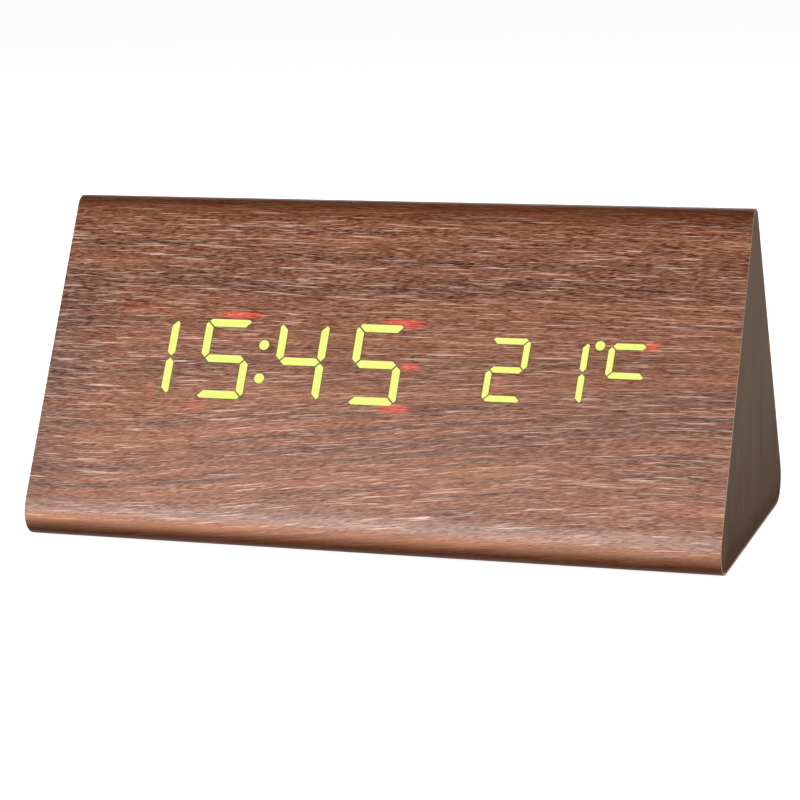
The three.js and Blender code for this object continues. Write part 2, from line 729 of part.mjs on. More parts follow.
// Everything that hangs on the front board, in the frame of the lit face.
function fillFrontFace(face) {
  const cells = displayCells();
  const length = span(0, windowLength - 2 * windowClearance);
  const height = span(figuresUp, windowHeight - 2 * windowClearance);
  face.add(piece('display_diffuser', block(length, height, [diffuserBack, diffuserFront]), frostedSheet));
  face.add(piece('display_reflector', makeReflector(cells, length, height), whitePlastic));
  for (const cell of cells) {
    face.add(piece(`${cell.name}_guide`, makeGuide(cell), lightGuide));
  }
  face.add(piece('display_pcb', makeDisplayBoard(cells), greenBoard));
  const behindBoard = displayBoardBack - glueGap;
  const shankLength = circuitThickness + 2 * glueGap + screwBite;
  screwPlaces.forEach(([across, up], i) => {
    const screw = piece(`display_screw_${i + 1}`, makeScrew(shankLength), steel);
    screw.position.set(across, up, behindBoard);
    face.add(screw);
  });
  const boardEnd = displayBoardLength / 2;
  const onBoard = [
    ['controller_chip', makeChip(), blackPlastic, chipInset - boardEnd, chipUp],
    ['buzzer', makeBuzzer(), blackPlastic, buzzerInset - boardEnd, 0],
    ['backup_cell', makeCoinCell(), steel, boardEnd - coinInset, 0],
    ['backup_cell_clip', makeCoinClip(), steel, boardEnd - coinInset, 0],
    ['thermistor', makeThermistor(), blackPlastic, boardEnd - thermistorInset, 0],
  ];
  for (const [name, geometry, material, across, up] of onBoard) {
    const mesh = piece(name, geometry, material);
    const raised = name === 'backup_cell' ? glueGap : 0;
    mesh.position.set(across, figuresUp + up, behindBoard - raised);
    face.add(mesh);
  }
}

// A button cap: a domed, dimpled head that passes through the board, and a flange that keeps it in.
function makeButtonCap() {
  const r = buttonDiameter / 2;
  const flange = buttonFlangeDiameter / 2;
  const dimple = buttonDimpleDiameter / 2;
  return turned([
    [0, flangeBottom], [flange, flangeBottom], [flange, flangeTop], [r, flangeTop],
    [r, buttonProud - buttonCrown], [r - buttonCrown, buttonProud],
    [dimple, buttonProud], [0, buttonProud - buttonDimpleDepth],
  ]);
}

// A switch housing with a round well for its plunger.
function makeSwitch() {
  const housing = block(span(0, switchSide), span(0, switchSide), [switchBottom, switchTop]);
  const well = [plungerTop - plungerLength - buttonTravel - plungerSlack, switchTop + overrun];
  return cut(housing, [rodZ(plungerDiameter + 2 * plungerFit, well, 0, 0, smallSides)]);
}

// The socket: a boxy body behind the board, a round nose through it, and a bore with a centre pin.
function makeJack() {
  const noseEnd = -jackNoseRecess;
  const bodySpan = [controlBoardFront + glueGap, flangeTop];
  const body = block(span(0, jackBodyWidth), span(0, jackBodyLength), bodySpan);
  const nose = rodZ(jackNoseDiameter, [flangeTop - overrun, noseEnd], 0, 0);
  const boreFloor = noseEnd - jackBoreDepth;
  const bored = cut(join([body, nose]), [rodZ(jackBoreDiameter, [boreFloor, noseEnd + overrun], 0, 0)]);
  const pin = rodZ(jackPinDiameter, [boreFloor - overrun, noseEnd - jackPinRecess], 0, 0, smallSides);
  return join([bored, pin]);
}

function makeMicrophone() {
  const capsule = rodZ(microphoneDiameter, [flangeTop - microphoneHeight, flangeTop], 0, 0);
  const legSpan = [controlBoardFront + glueGap, flangeTop - microphoneHeight / 2];
  const legs = span(0, microphoneLegSpacing).map((x) => rodZ(wireLegDiameter, legSpan, x, 0, smallSides / 2));
  return join([capsule, ...legs]);
}

// Everything behind the rear board, in the frame of the rear face.
function fillRearFace(face) {
  const place = (name, geometry, material, across) => {
    const mesh = piece(name, geometry, material);
    mesh.position.set(across, controlsUp, 0);
    face.add(mesh);
  };
  for (const [name, across] of buttons) {
    place(`${name}_button`, makeButtonCap(), blackPlastic, across);
    place(`${name}_switch`, makeSwitch(), blackPlastic, across);
    const plunger = rodZ(plungerDiameter, [plungerTop - plungerLength, plungerTop], 0, 0, smallSides);
    place(`${name}_plunger`, plunger, whitePlastic, across);
  }
  place('dc_jack', makeJack(), blackPlastic, jackAcross);
  place('microphone', makeMicrophone(), steel, microphoneAcross);

  const holeDiameter = screwShankDiameter + 2 * screwHoleClearance;
  const boardSpan = [controlBoardBack, controlBoardFront];
  const drill = [controlBoardBack - overrun, controlBoardFront + overrun];
  const holes = controlScrews.map((across) => rodZ(holeDiameter, drill, across, 0, smallSides));
  const boardHeights = [controlBoardLow - controlsUp, controlBoardReach];
  place('control_pcb', cut(block(controlRange, boardHeights, boardSpan), holes), greenBoard, 0);

  const spacerSpan = [controlBoardFront + glueGap, flangeTop];
  const bore = rodZ(holeDiameter, [spacerSpan[0] - overrun, spacerSpan[1] + overrun], 0, 0, smallSides);
  const shank = circuitThickness + glueGap + (boardBack - controlBoardFront) + screwBite;
  ['left', 'right'].forEach((side, i) => {
    const across = controlScrews[1 - i];
    const spacer = cut(rodZ(spacerDiameter, spacerSpan, 0, 0), [bore]);
    place(`control_spacer_${side}`, spacer, whitePlastic, across);
    const screw = makeScrew(shank).translate(0, 0, controlBoardBack - glueGap);
    place(`control_screw_${side}`, screw, steel, across);
  });
}

// The battery box: scalloped channels over the cells, side walls that carry the hinge pins, and slots for
// the two outer contact tabs.
const hingeAcross = -bayLength / 2 + doorClearance + doorThickness / 2;
const hingeHeight = doorRecess + doorThickness / 2;

function makeBatteryBox() {
  const bay = span(0, bayLength);
  const outer = block(span(0, boxLength), span(0, boxDepth), [doorRecess, boxTop]);
  const channelDiameter = cellDiameter + 2 * cellGap;
  const tools = [block(bay, span(0, bayDepth), [-overrun, cellAxisHeight])];
  for (const y of cellPlaces) {
    tools.push(rodX(channelDiameter, bay, y, cellAxisHeight));
  }
  const contactRoom = contactThickness + 2 * glueGap;
  for (const x of [-bayLength / 2, bayLength / 2 - contactRoom]) {
    const roomHeight = cellAxisHeight + contactHeight / 2 + glueGap;
    tools.push(block([x, x + contactRoom], span(0, bayDepth), [-overrun, roomHeight]));
  }
  const pinSpan = span(0, bayDepth + 2 * (hingePinReach + hingePinFit));
  tools.push(rodY(hingePinDiameter + 2 * hingePinFit, pinSpan, hingeAcross, hingeHeight));
  for (const y of [cellPlaces[0], cellPlaces[cellCount - 1]]) {
    const through = [-boxLength / 2 - overrun, -bayLength / 2 + overrun];
    const slotHeight = span(cellAxisHeight, contactThickness + 2 * boxClearance);
    tools.push(block(through, span(y, tabWidth + 2 * boxClearance), slotHeight));
  }
  return cut(outer, tools);
}

// The door: a flat plate that turns on two pins at one end and ends in a springy tongue with a catch.
function makeBatteryDoor() {
  const halfDepth = bayDepth / 2 - doorClearance;
  const far = bayLength / 2 - doorClearance;
  const layers = [doorRecess, doorTop];
  const plate = block([hingeAcross, far], [-halfDepth, halfDepth], layers);
  const barrel = rodY(doorThickness, [-halfDepth, halfDepth], hingeAcross, hingeHeight, roundSides);
  const pins = rodY(hingePinDiameter, span(0, bayDepth + 2 * hingePinReach), hingeAcross, hingeHeight);
  const catchSpan = [doorRecess + doorThickness / 2, doorTop + catchHeight];
  const catchHook = block([far - catchThickness, far], span(0, tongueWidth - 2 * tongueSlit), catchSpan);
  const through = [doorRecess - overrun, doorTop + overrun];
  const slits = [-1, 1].map((side) => {
    const middle = side * (tongueWidth + tongueSlit) / 2;
    return block([far - tongueLength, far + overrun], span(middle, tongueSlit), through);
  });
  const grooveSpan = [doorRecess - overrun, doorRecess + grooveDepth];
  const grooves = Array.from({ length: grooveCount }, (_, i) => {
    const across = far - groovePitch * (i + 1);
    return block(span(across, grooveWidth), span(0, grooveLength), grooveSpan);
  });
  return cut(join([plate, barrel, pins, catchHook]), [...slits, ...grooves]);
}

// A cell along X with its positive nub towards +X.
function makeCell() {
  const r = cellDiameter / 2;
  const nub = cellDiameter * cellNubShare / 2;
  const half = cellLength / 2;
  const shoulder = half - cellNubHeight;
  return turned([
    [0, -half], [r - cellEdge, -half], [r, -half + cellEdge], [r, shoulder - cellEdge],
    [r - cellEdge, shoulder], [nub, shoulder], [nub, half], [0, half],
  ]).rotateY(Math.PI / 2);
}

// The middle line of a tapering coil spring along +X. Its widest turn starts half sunk in the plate, where
// it is welded on.
const springLength = springRoom - contactThickness - 2 * glueGap - springWire / 2;

class SpringPath extends THREE.Curve {
  getPoint(share, target = new THREE.Vector3()) {
    const angle = share * springTurns * 2 * Math.PI;
    const radius = cellDiameter * THREE.MathUtils.lerp(springBaseShare, springTipShare, share) / 2;
    return target.set(share * springLength, radius * Math.cos(angle), radius * Math.sin(angle));
  }
}

function polygonShape(diameter, sides) {
  const corners = Array.from({ length: sides }, (_, i) => {
    const angle = (i / sides) * 2 * Math.PI;
    return new THREE.Vector2(Math.cos(angle), Math.sin(angle)).multiplyScalar(diameter / 2);
  });
  return new THREE.Shape(corners);
}

function makeSpring() {
  const options = { steps: springTurns * springSteps, extrudePath: new SpringPath() };
  return new THREE.ExtrudeGeometry(polygonShape(springWire, springSides), options);
}

// The least distance between neighbouring turns of the spring, from surface to surface.
function springGap() {
  const points = new SpringPath().getPoints(springTurns * springSteps);
  const later = points.slice(springSteps);
  return Math.min(...later.map((point, i) => point.distanceTo(points[i]))) - springWire;
}
console.log(`least gap between turns of a contact spring: ${springGap().toFixed(2)} mm`);

// A contact strip against an end wall of the bay, seen as if the wall were at x = 0 and the bay at +X.
// It has a spring before each place in springs, a raised plate before each place in plates, and a tab
// through the wall where it takes a lead.
function makeContact(springs, plates, tab) {
  const places = [...springs, ...plates];
  const from = Math.min(...places) - contactWidth / 2;
  const to = Math.max(...places) + contactWidth / 2;
  const face = glueGap + contactThickness;
  const parts = [block([glueGap, face], [from, to], span(cellAxisHeight, contactHeight))];
  for (const y of springs) {
    parts.push(makeSpring().translate(face, y, cellAxisHeight));
  }
  const bump = [glueGap + contactThickness / 2, face + contactBump];
  for (const y of plates) {
    parts.push(rodX(contactBumpDiameter, bump, y, cellAxisHeight, smallSides));
  }
  if (tab) {
    const reach = [-boxWall - tabReach, glueGap + contactThickness / 2];
    parts.push(block(reach, span(places[0], tabWidth), span(cellAxisHeight, contactThickness)));
  }
  return join(parts);
}

// The battery box, its door, the cells and the contacts that join the cells in series.
function fillBase(base) {
  base.add(piece('battery_box', makeBatteryBox(), blackPlastic));
  base.add(piece('battery_door', makeBatteryDoor(), blackPlastic));
  const centre = bayLength / 2 - plateRoom - cellLength / 2;
  cellPlaces.forEach((y, i) => {
    const cell = piece(`battery_${i + 1}`, makeCell(), cellJacket);
    const towardsHinge = i % 2 === 0;
    cell.rotation.z = towardsHinge ? Math.PI : 0;
    cell.position.set(towardsHinge ? -centre : centre, y, cellAxisHeight);
    base.add(cell);
  });
  const [first, second, third, fourth] = cellPlaces;
  const contacts = [
    ['positive_contact', [], [first], true, false],
    ['link_contact_1', [first], [second], false, true],
    ['link_contact_2', [second], [third], false, false],
    ['link_contact_3', [third], [fourth], false, true],
    ['negative_contact', [fourth], [], true, false],
  ];
  for (const [name, springs, plates, tab, farEnd] of contacts) {
    const mirror = farEnd ? -1 : 1;
    const flip = (places) => places.map((y) => y * mirror);
    const contact = piece(name, makeContact(flip(springs), flip(plates), tab), steel);
    contact.rotation.z = farEnd ? Math.PI : 0;
    contact.position.x = farEnd ? bayLength / 2 : -bayLength / 2;
    base.add(contact);
  }
}

// A point of a face's frame as a place in the case.
const placeOn = (face, x, y, z) => new THREE.Vector3(x, y, z).applyMatrix4(face.matrixWorld);

// A lead from a contact's tab, out along X, and over to the back of the control board.
function makeLead(y, across) {
  const start = new THREE.Vector3(-boxLength / 2 - tabReach - leadGap, y, cellAxisHeight);
  const out = start.clone().add(new THREE.Vector3(-tabReach, 0, 0));
  const endUp = controlBoardLow + leadInset;
  const end = placeOn(rearFace, across, endUp, controlBoardBack - leadGap);
  const before = placeOn(rearFace, across, endUp, controlBoardBack - leadGap - 2 * tabReach);
  const path = new THREE.CatmullRomCurve3([start, out, before, end], false, 'centripetal');
  const options = { steps: leadSteps, extrudePath: path };
  return new THREE.ExtrudeGeometry(polygonShape(leadDiameter, leadSides), options);
}

// The flat cable between the two boards hangs in a bow. Its side view is carried along its width.
function makeRibbon() {
  const flat = (point) => new THREE.Vector2(point.y, point.z);
  const start = flat(placeOn(frontFace, 0, controlsUp, displayBoardBack - leadGap));
  const startPull = flat(placeOn(frontFace, 0, controlsUp, displayBoardBack - leadGap - ribbonStub));
  const end = flat(placeOn(rearFace, 0, controlsUp, controlBoardBack - leadGap));
  const endPull = flat(placeOn(rearFace, 0, controlsUp, controlBoardBack - leadGap - ribbonStub));
  const bow = new THREE.CubicBezierCurve(start, startPull, endPull, end);
  const sideAt = (share, offset) => {
    const along = bow.getTangent(share);
    return bow.getPoint(share).addScaledVector(new THREE.Vector2(-along.y, along.x), offset);
  };
  const shares = Array.from({ length: ribbonSteps + 1 }, (_, i) => i / ribbonSteps);
  const below = shares.map((share) => sideAt(share, -ribbonThickness / 2));
  const above = shares.map((share) => sideAt(share, ribbonThickness / 2)).reverse();
  return alongX(new THREE.Shape([...below, ...above]), [ribbonAcross, ribbonAcross + ribbonWidth]);
}

const clock = new THREE.Group();
clock.add(...makeCase());
fillFrontFace(frontFace);
fillRearFace(rearFace);
fillBase(clock);
clock.add(frontFace, halfTurn);
const [redEnd, blackEnd] = [controlScrews[1] - controlScrewReach / 2, controlScrews[1] - controlScrewReach];
clock.add(piece('battery_lead_red', makeLead(cellPlaces[0], redEnd), redSleeve));
clock.add(piece('battery_lead_black', makeLead(cellPlaces[cellCount - 1], blackEnd), blackSleeve));
clock.add(piece('ribbon_cable', makeRibbon(), greySleeve));

export default clock;
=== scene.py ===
# %% [markdown]
# # A wedge-shaped wooden alarm clock
# The clock is a lying prism of fibreboard, wrapped in one sheet of walnut film, and its figures shine
# through the film. The packed model is the frame of this scene: its nodes keep their places, and this
# notebook gives them finishes and lays finer pieces over the ones that show.
# Lengths are in metres unless a name ends in `_mm`.

# %% Load the frame
import json
import math

import bmesh
import bpy
import numpy as np
from mathutils import Matrix, Vector


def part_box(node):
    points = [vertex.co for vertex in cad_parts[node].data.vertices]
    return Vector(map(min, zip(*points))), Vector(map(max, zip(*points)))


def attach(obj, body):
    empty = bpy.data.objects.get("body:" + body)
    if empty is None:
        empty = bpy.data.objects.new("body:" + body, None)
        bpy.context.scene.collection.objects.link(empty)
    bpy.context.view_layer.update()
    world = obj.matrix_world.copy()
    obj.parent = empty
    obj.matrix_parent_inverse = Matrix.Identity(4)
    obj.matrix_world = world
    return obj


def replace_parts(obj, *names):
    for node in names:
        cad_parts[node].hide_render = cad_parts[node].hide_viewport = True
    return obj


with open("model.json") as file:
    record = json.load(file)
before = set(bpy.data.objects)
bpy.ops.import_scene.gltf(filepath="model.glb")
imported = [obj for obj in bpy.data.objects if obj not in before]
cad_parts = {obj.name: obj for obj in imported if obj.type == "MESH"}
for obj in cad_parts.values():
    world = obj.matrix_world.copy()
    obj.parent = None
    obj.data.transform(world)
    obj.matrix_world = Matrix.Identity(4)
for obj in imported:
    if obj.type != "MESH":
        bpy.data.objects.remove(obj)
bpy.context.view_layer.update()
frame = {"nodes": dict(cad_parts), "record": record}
nodes = frame["nodes"]

# %% [markdown]
# ## The camera
# The photographer stood a good half metre away, a little to the right of the clock and a little above
# it. The camera is given by the point that it looks at, its direction from there and its distance.
# Its small roll is why the table line of the picture isn't quite level.

# %% Place the camera
CAMERA_TARGET = Vector((-0.002124, 0, 0.026212))
CAMERA_DISTANCE = 0.561506
CAMERA_AZIMUTH = math.radians(17.565)
CAMERA_ELEVATION = math.radians(11.052)
CAMERA_ROLL = math.radians(-0.934)
FOCAL_LENGTH_MM = 116.574
SENSOR_WIDTH_MM = 36.0
WORLD_UP = Vector((0, 0, 1))


def direction(azimuth, elevation):
    """The unit vector towards an azimuth from the lit face's side and an elevation above the table."""
    level = math.cos(elevation)
    return Vector((math.sin(azimuth) * level, -math.cos(azimuth) * level, math.sin(elevation)))


camera_data = bpy.data.cameras.new("camera")
camera_data.lens = FOCAL_LENGTH_MM
camera_data.sensor_width = SENSOR_WIDTH_MM
camera = bpy.data.objects.new("camera", camera_data)
bpy.context.scene.collection.objects.link(camera)
bpy.context.scene.camera = camera

back = direction(CAMERA_AZIMUTH, CAMERA_ELEVATION)
level_right = WORLD_UP.cross(back).normalized()
level_up = back.cross(level_right)
right = level_right * math.cos(CAMERA_ROLL) + level_up * math.sin(CAMERA_ROLL)
up = level_up * math.cos(CAMERA_ROLL) - level_right * math.sin(CAMERA_ROLL)
camera.matrix_world = Matrix((right, up, back)).transposed().to_4x4()
camera.location = CAMERA_TARGET + back * CAMERA_DISTANCE
print(f"camera at {tuple(round(value, 3) for value in camera.location)}")

# %% [markdown]
# ## The wedge as arrays
# Everything on the outside follows one outline: a triangle with three rounded corners. It is worked out
# once, as arrays of points, of outward normals and of the length run along it. The run is shifted so
# that on the lit face it equals the way up the slope from the sharp front corner, which makes it handy
# for placing the grain and the figures.

# %% Measure the case and name its sizes
MM = 0.001
SHARP_DEPTH = 81 * MM
SHARP_HEIGHT = 73 * MM
BASE_RADIUS = 5.5 * MM
RIDGE_RADIUS = 3.3 * MM
FILM = 0.5 * MM
ARC_STEPS = 28
FINE_STEPS = 16
SUPPORT = 0.25 * MM

LEAN = math.atan2(SHARP_DEPTH / 2, SHARP_HEIGHT)
SLOPE_UP = np.array((0, math.sin(LEAN), math.cos(LEAN)))
FRONT_NORMAL = np.array((0, -math.cos(LEAN), math.sin(LEAN)))
BASE_TANGENT = BASE_RADIUS / math.tan((math.pi / 2 - LEAN) / 2)

case_low, case_high = (np.array(corner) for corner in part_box("veneer_wrap"))
CASE_END = case_high[0]
print(f"the faces lean {math.degrees(LEAN):.2f} degrees, and the ends are at {CASE_END / MM:.1f} mm")


# %% Work out the outline
def arc(centre, radius, first, last):
    """Points centre + radius * (cos a, sin a) as the angle a goes from first to last, and the normals
    (cos a, sin a). A support point stands a little outside each end, on the flat that joins there."""
    angle = np.linspace(first, last, ARC_STEPS + 1)
    normal = np.stack([np.cos(angle), np.sin(angle)], 1)
    points = centre + radius * normal
    along = np.stack([np.sin(angle), -np.cos(angle)], 1)
    before, after = points[:1] - SUPPORT * along[:1], points[-1:] + SUPPORT * along[-1:]
    return np.concatenate([before, points, after]), np.concatenate([normal[:1], normal, normal[-1:]])


def eased_bend(first, last, reach):
    """A bend that turns slowly at its ends, as film does when it is pressed round an edge: the normal's
    angle a goes from first to last as 3u^2 - 2u^3 with the run u, and the points are the running sum of
    (sin a, -cos a). It is scaled so that it stays the given reach short of the sharp corner, which is
    its origin. Returns points, normals and the length of its tangents."""
    u = np.linspace(0, 1, ARC_STEPS * FINE_STEPS + 1)
    angle = first + (last - first) * (3 - 2 * u) * u * u
    middle = (angle[1:] + angle[:-1]) / 2
    steps = np.stack([np.sin(middle), -np.cos(middle)], 1) / len(middle)
    points = np.concatenate([np.zeros((1, 2)), np.cumsum(steps, 0)])
    before, after = (np.array((math.sin(end), -math.cos(end))) for end in (first, last))
    tangent = np.linalg.norm(points[-1]) / np.linalg.norm(before + after)
    points -= before * tangent
    scale = reach / points[:, 0].min()
    normals = np.stack([np.cos(angle), np.sin(angle)], 1)
    return points[::FINE_STEPS] * scale, normals[::FINE_STEPS], tangent * scale


def wedge_outline():
    """The outline in Y and Z from the middle of the base, forwards and up the lit face, over the ridge
    and back down: points, outward normals, and the run with one value more than there are points."""
    front = math.pi - LEAN
    bend, bend_normals, tangent = eased_bend(1.5 * math.pi, front, BASE_TANGENT - BASE_RADIUS)
    bend = bend - (SHARP_DEPTH / 2, 0)
    ridge_height = SHARP_HEIGHT - RIDGE_RADIUS / math.sin(LEAN)
    ridge, ridge_normals = arc(np.array((0, ridge_height)), RIDGE_RADIUS, front, LEAN)
    mirror = np.array((-1, 1))
    points = np.concatenate([np.zeros((1, 2)), bend, ridge, (bend * mirror)[::-1]])
    straight_down = np.array([(0.0, -1.0)])
    normals = np.concatenate([straight_down, bend_normals, ridge_normals, (bend_normals * mirror)[::-1]])
    steps = np.linalg.norm(np.roll(points, -1, 0) - points, axis=1)
    run = np.concatenate([[0], np.cumsum(steps)])
    return points, normals, run - run[len(bend)] + tangent


outline, outline_normals, outline_run = wedge_outline()
size_mm = np.round((outline.max(0) - outline.min(0)) / MM, 3)
frame_mm = np.round((case_high - case_low)[1:] / MM, 3)
print(f"outline {size_mm} mm, the frame's case {frame_mm} mm, run {outline_run[[0, -1]] / MM} mm")


# %% [markdown]
# ## Surfaces from grids
# A surface here is a function of two parameters on a grid of points. Neighbouring points make quads,
# a wrapped direction closes the surface on itself, and a UV map can carry the two parameters along, so
# that a pattern follows the surface. One helper turns such a grid into a mesh.

# %% Turn grids into meshes
def grid_faces(rows, columns, wrap_rows, wrap_columns):
    """The corner numbers of all quads of a grid, as one array of four columns."""
    i, j = np.meshgrid(
        np.arange(rows if wrap_rows else rows - 1),
        np.arange(columns if wrap_columns else columns - 1),
        indexing="ij",
    )
    next_i, next_j = (i + 1) % rows, (j + 1) % columns
    quads = [i * columns + j, next_i * columns + j, next_i * columns + next_j, i * columns + next_j]
    return np.stack(quads, -1).reshape(-1, 4)


def grid_corner_values(row_values, column_values):
    """The two parameters at each quad's four corners, in the order of grid_faces. Both lists hold one
    value more than there are quads in their direction."""
    v, u = np.meshgrid(row_values, column_values, indexing="ij")
    both = np.stack([u, v], -1)
    corners = [both[:-1, :-1], both[1:, :-1], both[1:, 1:], both[:-1, 1:]]
    return np.stack(corners, -2).reshape(-1, 2)


SMOOTH_BELOW = math.radians(40)


def add_object(name, points, faces):
    """A mesh object at the origin; edges that turn by more than SMOOTH_BELOW stay sharp."""
    mesh = bpy.data.meshes.new(name)
    faces = faces.tolist() if isinstance(faces, np.ndarray) else faces
    mesh.from_pydata(np.asarray(points).reshape(-1, 3).tolist(), [], faces)
    mesh.update()
    mesh.shade_smooth()
    mesh.set_sharp_from_angle(angle=SMOOTH_BELOW)
    piece = bpy.data.objects.new(name, mesh)
    bpy.context.scene.collection.objects.link(piece)
    return piece


def set_uv(piece, name, corner_values):
    """Stores two numbers for each corner of each face as a UV map."""
    layer = piece.data.uv_layers.new(name=name)
    layer.data.foreach_set("uv", np.asarray(corner_values, np.float32).ravel())


open_grid, closed_grid = (len(grid_faces(3, 4, wrapped, wrapped)) for wrapped in (False, True))
print(f"3 by 4 points make {open_grid} quads, and {closed_grid} where both directions are wrapped")


# %% [markdown]
# ## Shader maths
# A wood pattern is a sum of many terms, and as text such a sum is easier to read than as a web of nodes.
# `Value` wraps one socket, and arithmetic on it adds Math nodes. All other nodes come from its `node`.

# %% Wrap a socket so that patterns can be written as sums
class Value:
    """A number, colour or vector that a material works out at each point. Without a socket it is only
    the start of a tree, from which the first nodes are added."""

    def __init__(self, tree, socket=None):
        self.tree = tree
        self.socket = socket

    def node(self, kind, settings, inputs, output=0):
        """Adds a node, makes its settings, then fills its inputs with plain values or links."""
        node = self.tree.nodes.new(kind)
        for key, setting in settings.items():
            setattr(node, key, setting)
        for key, value in inputs.items():
            if isinstance(value, Value):
                self.tree.links.new(value.socket, node.inputs[key])
            else:
                node.inputs[key].default_value = value
        return Value(self.tree, node.outputs[output])

    def also(self, output):
        """Another output of the node that this value comes from."""
        return Value(self.tree, self.socket.node.outputs[output])

    def math(self, operation, *terms):
        """A Math node's result for one, two or three numbers or values."""
        return self.node("ShaderNodeMath", {"operation": operation}, dict(enumerate(terms)))

    def __add__(self, other):
        return self.math("ADD", self, other)

    def __sub__(self, other):
        return self.math("SUBTRACT", self, other)

    def __rsub__(self, other):
        return self.math("SUBTRACT", other, self)

    def __mul__(self, other):
        return self.math("MULTIPLY", self, other)

    def __truediv__(self, other):
        return self.math("DIVIDE", self, other)

    __radd__ = __add__
    __rmul__ = __mul__

    def clamped(self):
        """The value, but at least 0 and at most 1."""
        return self.math("MAXIMUM", self.math("MINIMUM", self, 1.0), 0.0)


print("beside sums, a Value has", ", ".join(name for name in vars(Value) if not name.startswith("_")))


# %% Name the steps that the patterns are made of
def step_up(value, low, high):
    """0 below low, 1 above high, and a smooth S between them."""
    limits = {"Value": value, "From Min": low, "From Max": high}
    return value.node("ShaderNodeMapRange", {"interpolation_type": "SMOOTHSTEP"}, limits)


def between(value, rise_from, rise_to, fall_from, fall_to):
    """1 in the middle, 0 outside, with a smooth slope on either side."""
    return step_up(value, rise_from, rise_to) * (1.0 - step_up(value, fall_from, fall_to))


def hump(value, centre, half_width):
    """1 at the centre, falling off on both sides as a bell: exp(-((value - centre) / half_width)^2)."""
    offset = (value - centre) / half_width
    return value.math("EXPONENT", offset * offset * -1.0)


def plateau(value, centre, half_width):
    """As a hump, but flat on top: exp(-((value - centre) / half_width)^4)."""
    offset = (value - centre) / half_width
    squared = offset * offset
    return value.math("EXPONENT", squared * squared * -1.0)


def vector(x, y, z=0.0):
    """One place from three values, of which the first is never a plain number."""
    return x.node("ShaderNodeCombineXYZ", {}, {"X": x, "Y": y, "Z": z})


def parts(value):
    """The three components of a vector or colour."""
    x = value.node("ShaderNodeSeparateXYZ", {}, {"Vector": value})
    return x, x.also("Y"), x.also("Z")


def noise(place, detail=2.0, roughness=0.5):
    """Smooth random values about 0.5, one wave per unit of place. A stretched place makes streaks."""
    inputs = {"Vector": place, "Scale": 1.0, "Detail": detail, "Roughness": roughness}
    return place.node("ShaderNodeTexNoise", {"noise_dimensions": "3D"}, inputs)


def mix(factor, first, second):
    """A colour between two colours, which are tuples or values, by a factor that is a value. The node's
    inputs 6 and 7 and its output 2 are its colours."""
    first, second = ((*part, 1.0) if isinstance(part, tuple) else part for part in (first, second))
    inputs = {0: factor, 6: first, 7: second}
    return factor.node("ShaderNodeMix", {"data_type": "RGBA"}, inputs, output=2)


def scaled(colour, factor):
    """A colour, given as a tuple, times a value."""
    return factor.node("ShaderNodeVectorMath", {"operation": "SCALE"}, {0: colour, "Scale": factor})


def summed(first, second):
    """The sum of two colours, each channel by itself."""
    return first.node("ShaderNodeVectorMath", {"operation": "ADD"}, {0: first, 1: second})


def bump(height, depth_mm):
    """Normals of a relief in which a height of 1 stands this many millimetres up."""
    return height.node("ShaderNodeBump", {}, {"Height": height, "Distance": depth_mm * MM})


helpers = [step_up, between, hump, plateau, vector, parts, noise, mix, scaled, summed, bump]
print("steps:", ", ".join(helper.__name__ for helper in helpers))


# %% Make a material from a recipe
def srgb(red, green, blue):
    """A colour as it is read off a screen, 0 to 255, turned into the linear numbers of a shader."""
    share = np.array((red, green, blue)) / 255
    return tuple(np.where(share <= 0.04045, share / 12.92, ((share + 0.055) / 1.055) ** 2.4).tolist())


def finish(name, constants, recipe=None):
    """A material with one Principled shader. Constants go straight onto its sockets; the recipe takes
    the start of the tree and returns what changes over the surface."""
    material = bpy.data.materials.new(name)
    material.use_nodes = True
    tree = material.node_tree
    shader = tree.nodes["Principled BSDF"]
    for key, value in constants.items():
        shader.inputs[key].default_value = (*value, 1.0) if isinstance(value, tuple) else value
    for key, value in (recipe(Value(tree)) if recipe else {}).items():
        tree.links.new(value.socket, shader.inputs[key])
    return material


def object_place(start):
    """The place in the object's own frame, in millimetres, as three values."""
    place = start.node("ShaderNodeTexCoord", {}, {}, output="Object")
    return [part * (1 / MM) for part in parts(place)]


print(f"a mid grey of 128 on the screen is {srgb(128, 128, 128)[0]:.3f} in a shader")


# %% [markdown]
# ## Walnut film
# The film is printed and lightly embossed. Its grain runs along the clock: broad soft bands, fine
# streaks, a few dark lines that rise to the right in the lower half, many short pale scratches and as
# many dark pits. All of it is noise that is read on the film's own map, stretched along the grain, so it
# bends round the edges with the sheet. Two things vary: how much brown there is, and how much of a pale,
# less saturated grain lies over it. Both also carry painted light: painted shade at the ridge and along
# the bottom edge, painted light over the lower face and a painted highlight along the lower bend. Red
# light from the display leaks through in a few places.

# %% Choose the film's colours and place its marks
BROWN = (1.0, 0.33, 0.12)
PALE_GRAIN = (1.0, 0.77, 0.65)
CUT_EDGE = srgb(158, 108, 76)
DARKEST = (0.012, 0.006, 0.004)
LEAK_RED = (1.0, 0.02, 0.02)
MEAN_BROWN = 0.182
MEAN_PALE = 0.030
LEAST_TONE = 0.12
HALF_LENGTH_MM = float(CASE_END / MM)
# The pale bands of painted highlight and shade and the lacquer are measured from here, a hair behind the
# middle of the ridge.
RIDGE_RUN_MM = 81.3

# Flowing dark lines: the run where one starts at the left, its half width and its strength.
FLOW_LINES_MM = [
    (22.2, 0.45, 0.75), (13.6, 0.4, 0.6), (9.0, 0.5, 0.3), (27.0, 0.8, 0.3), (18.4, 1.1, 0.3),
]
# Bands over the whole length: the run of their middle, their half width and the brown that they add.
# The broad one over the lower face and the one at 6 mm on the lower bend are painted light, those at
# 2.5 mm along the bottom edge and at the ridge are painted shade, and the rest are grain.
GRAIN_LIGHT_AND_SHADE_BANDS_MM = [
    (15.0, 20.0, 0.043), (6.0, 1.6, 0.09), (2.5, 2.2, -0.09), (9.3, 1.6, -0.03), (61.5, 3.4, -0.045),
    (81.3, 5.6, -0.105), (40.0, 6.0, -0.01),
]
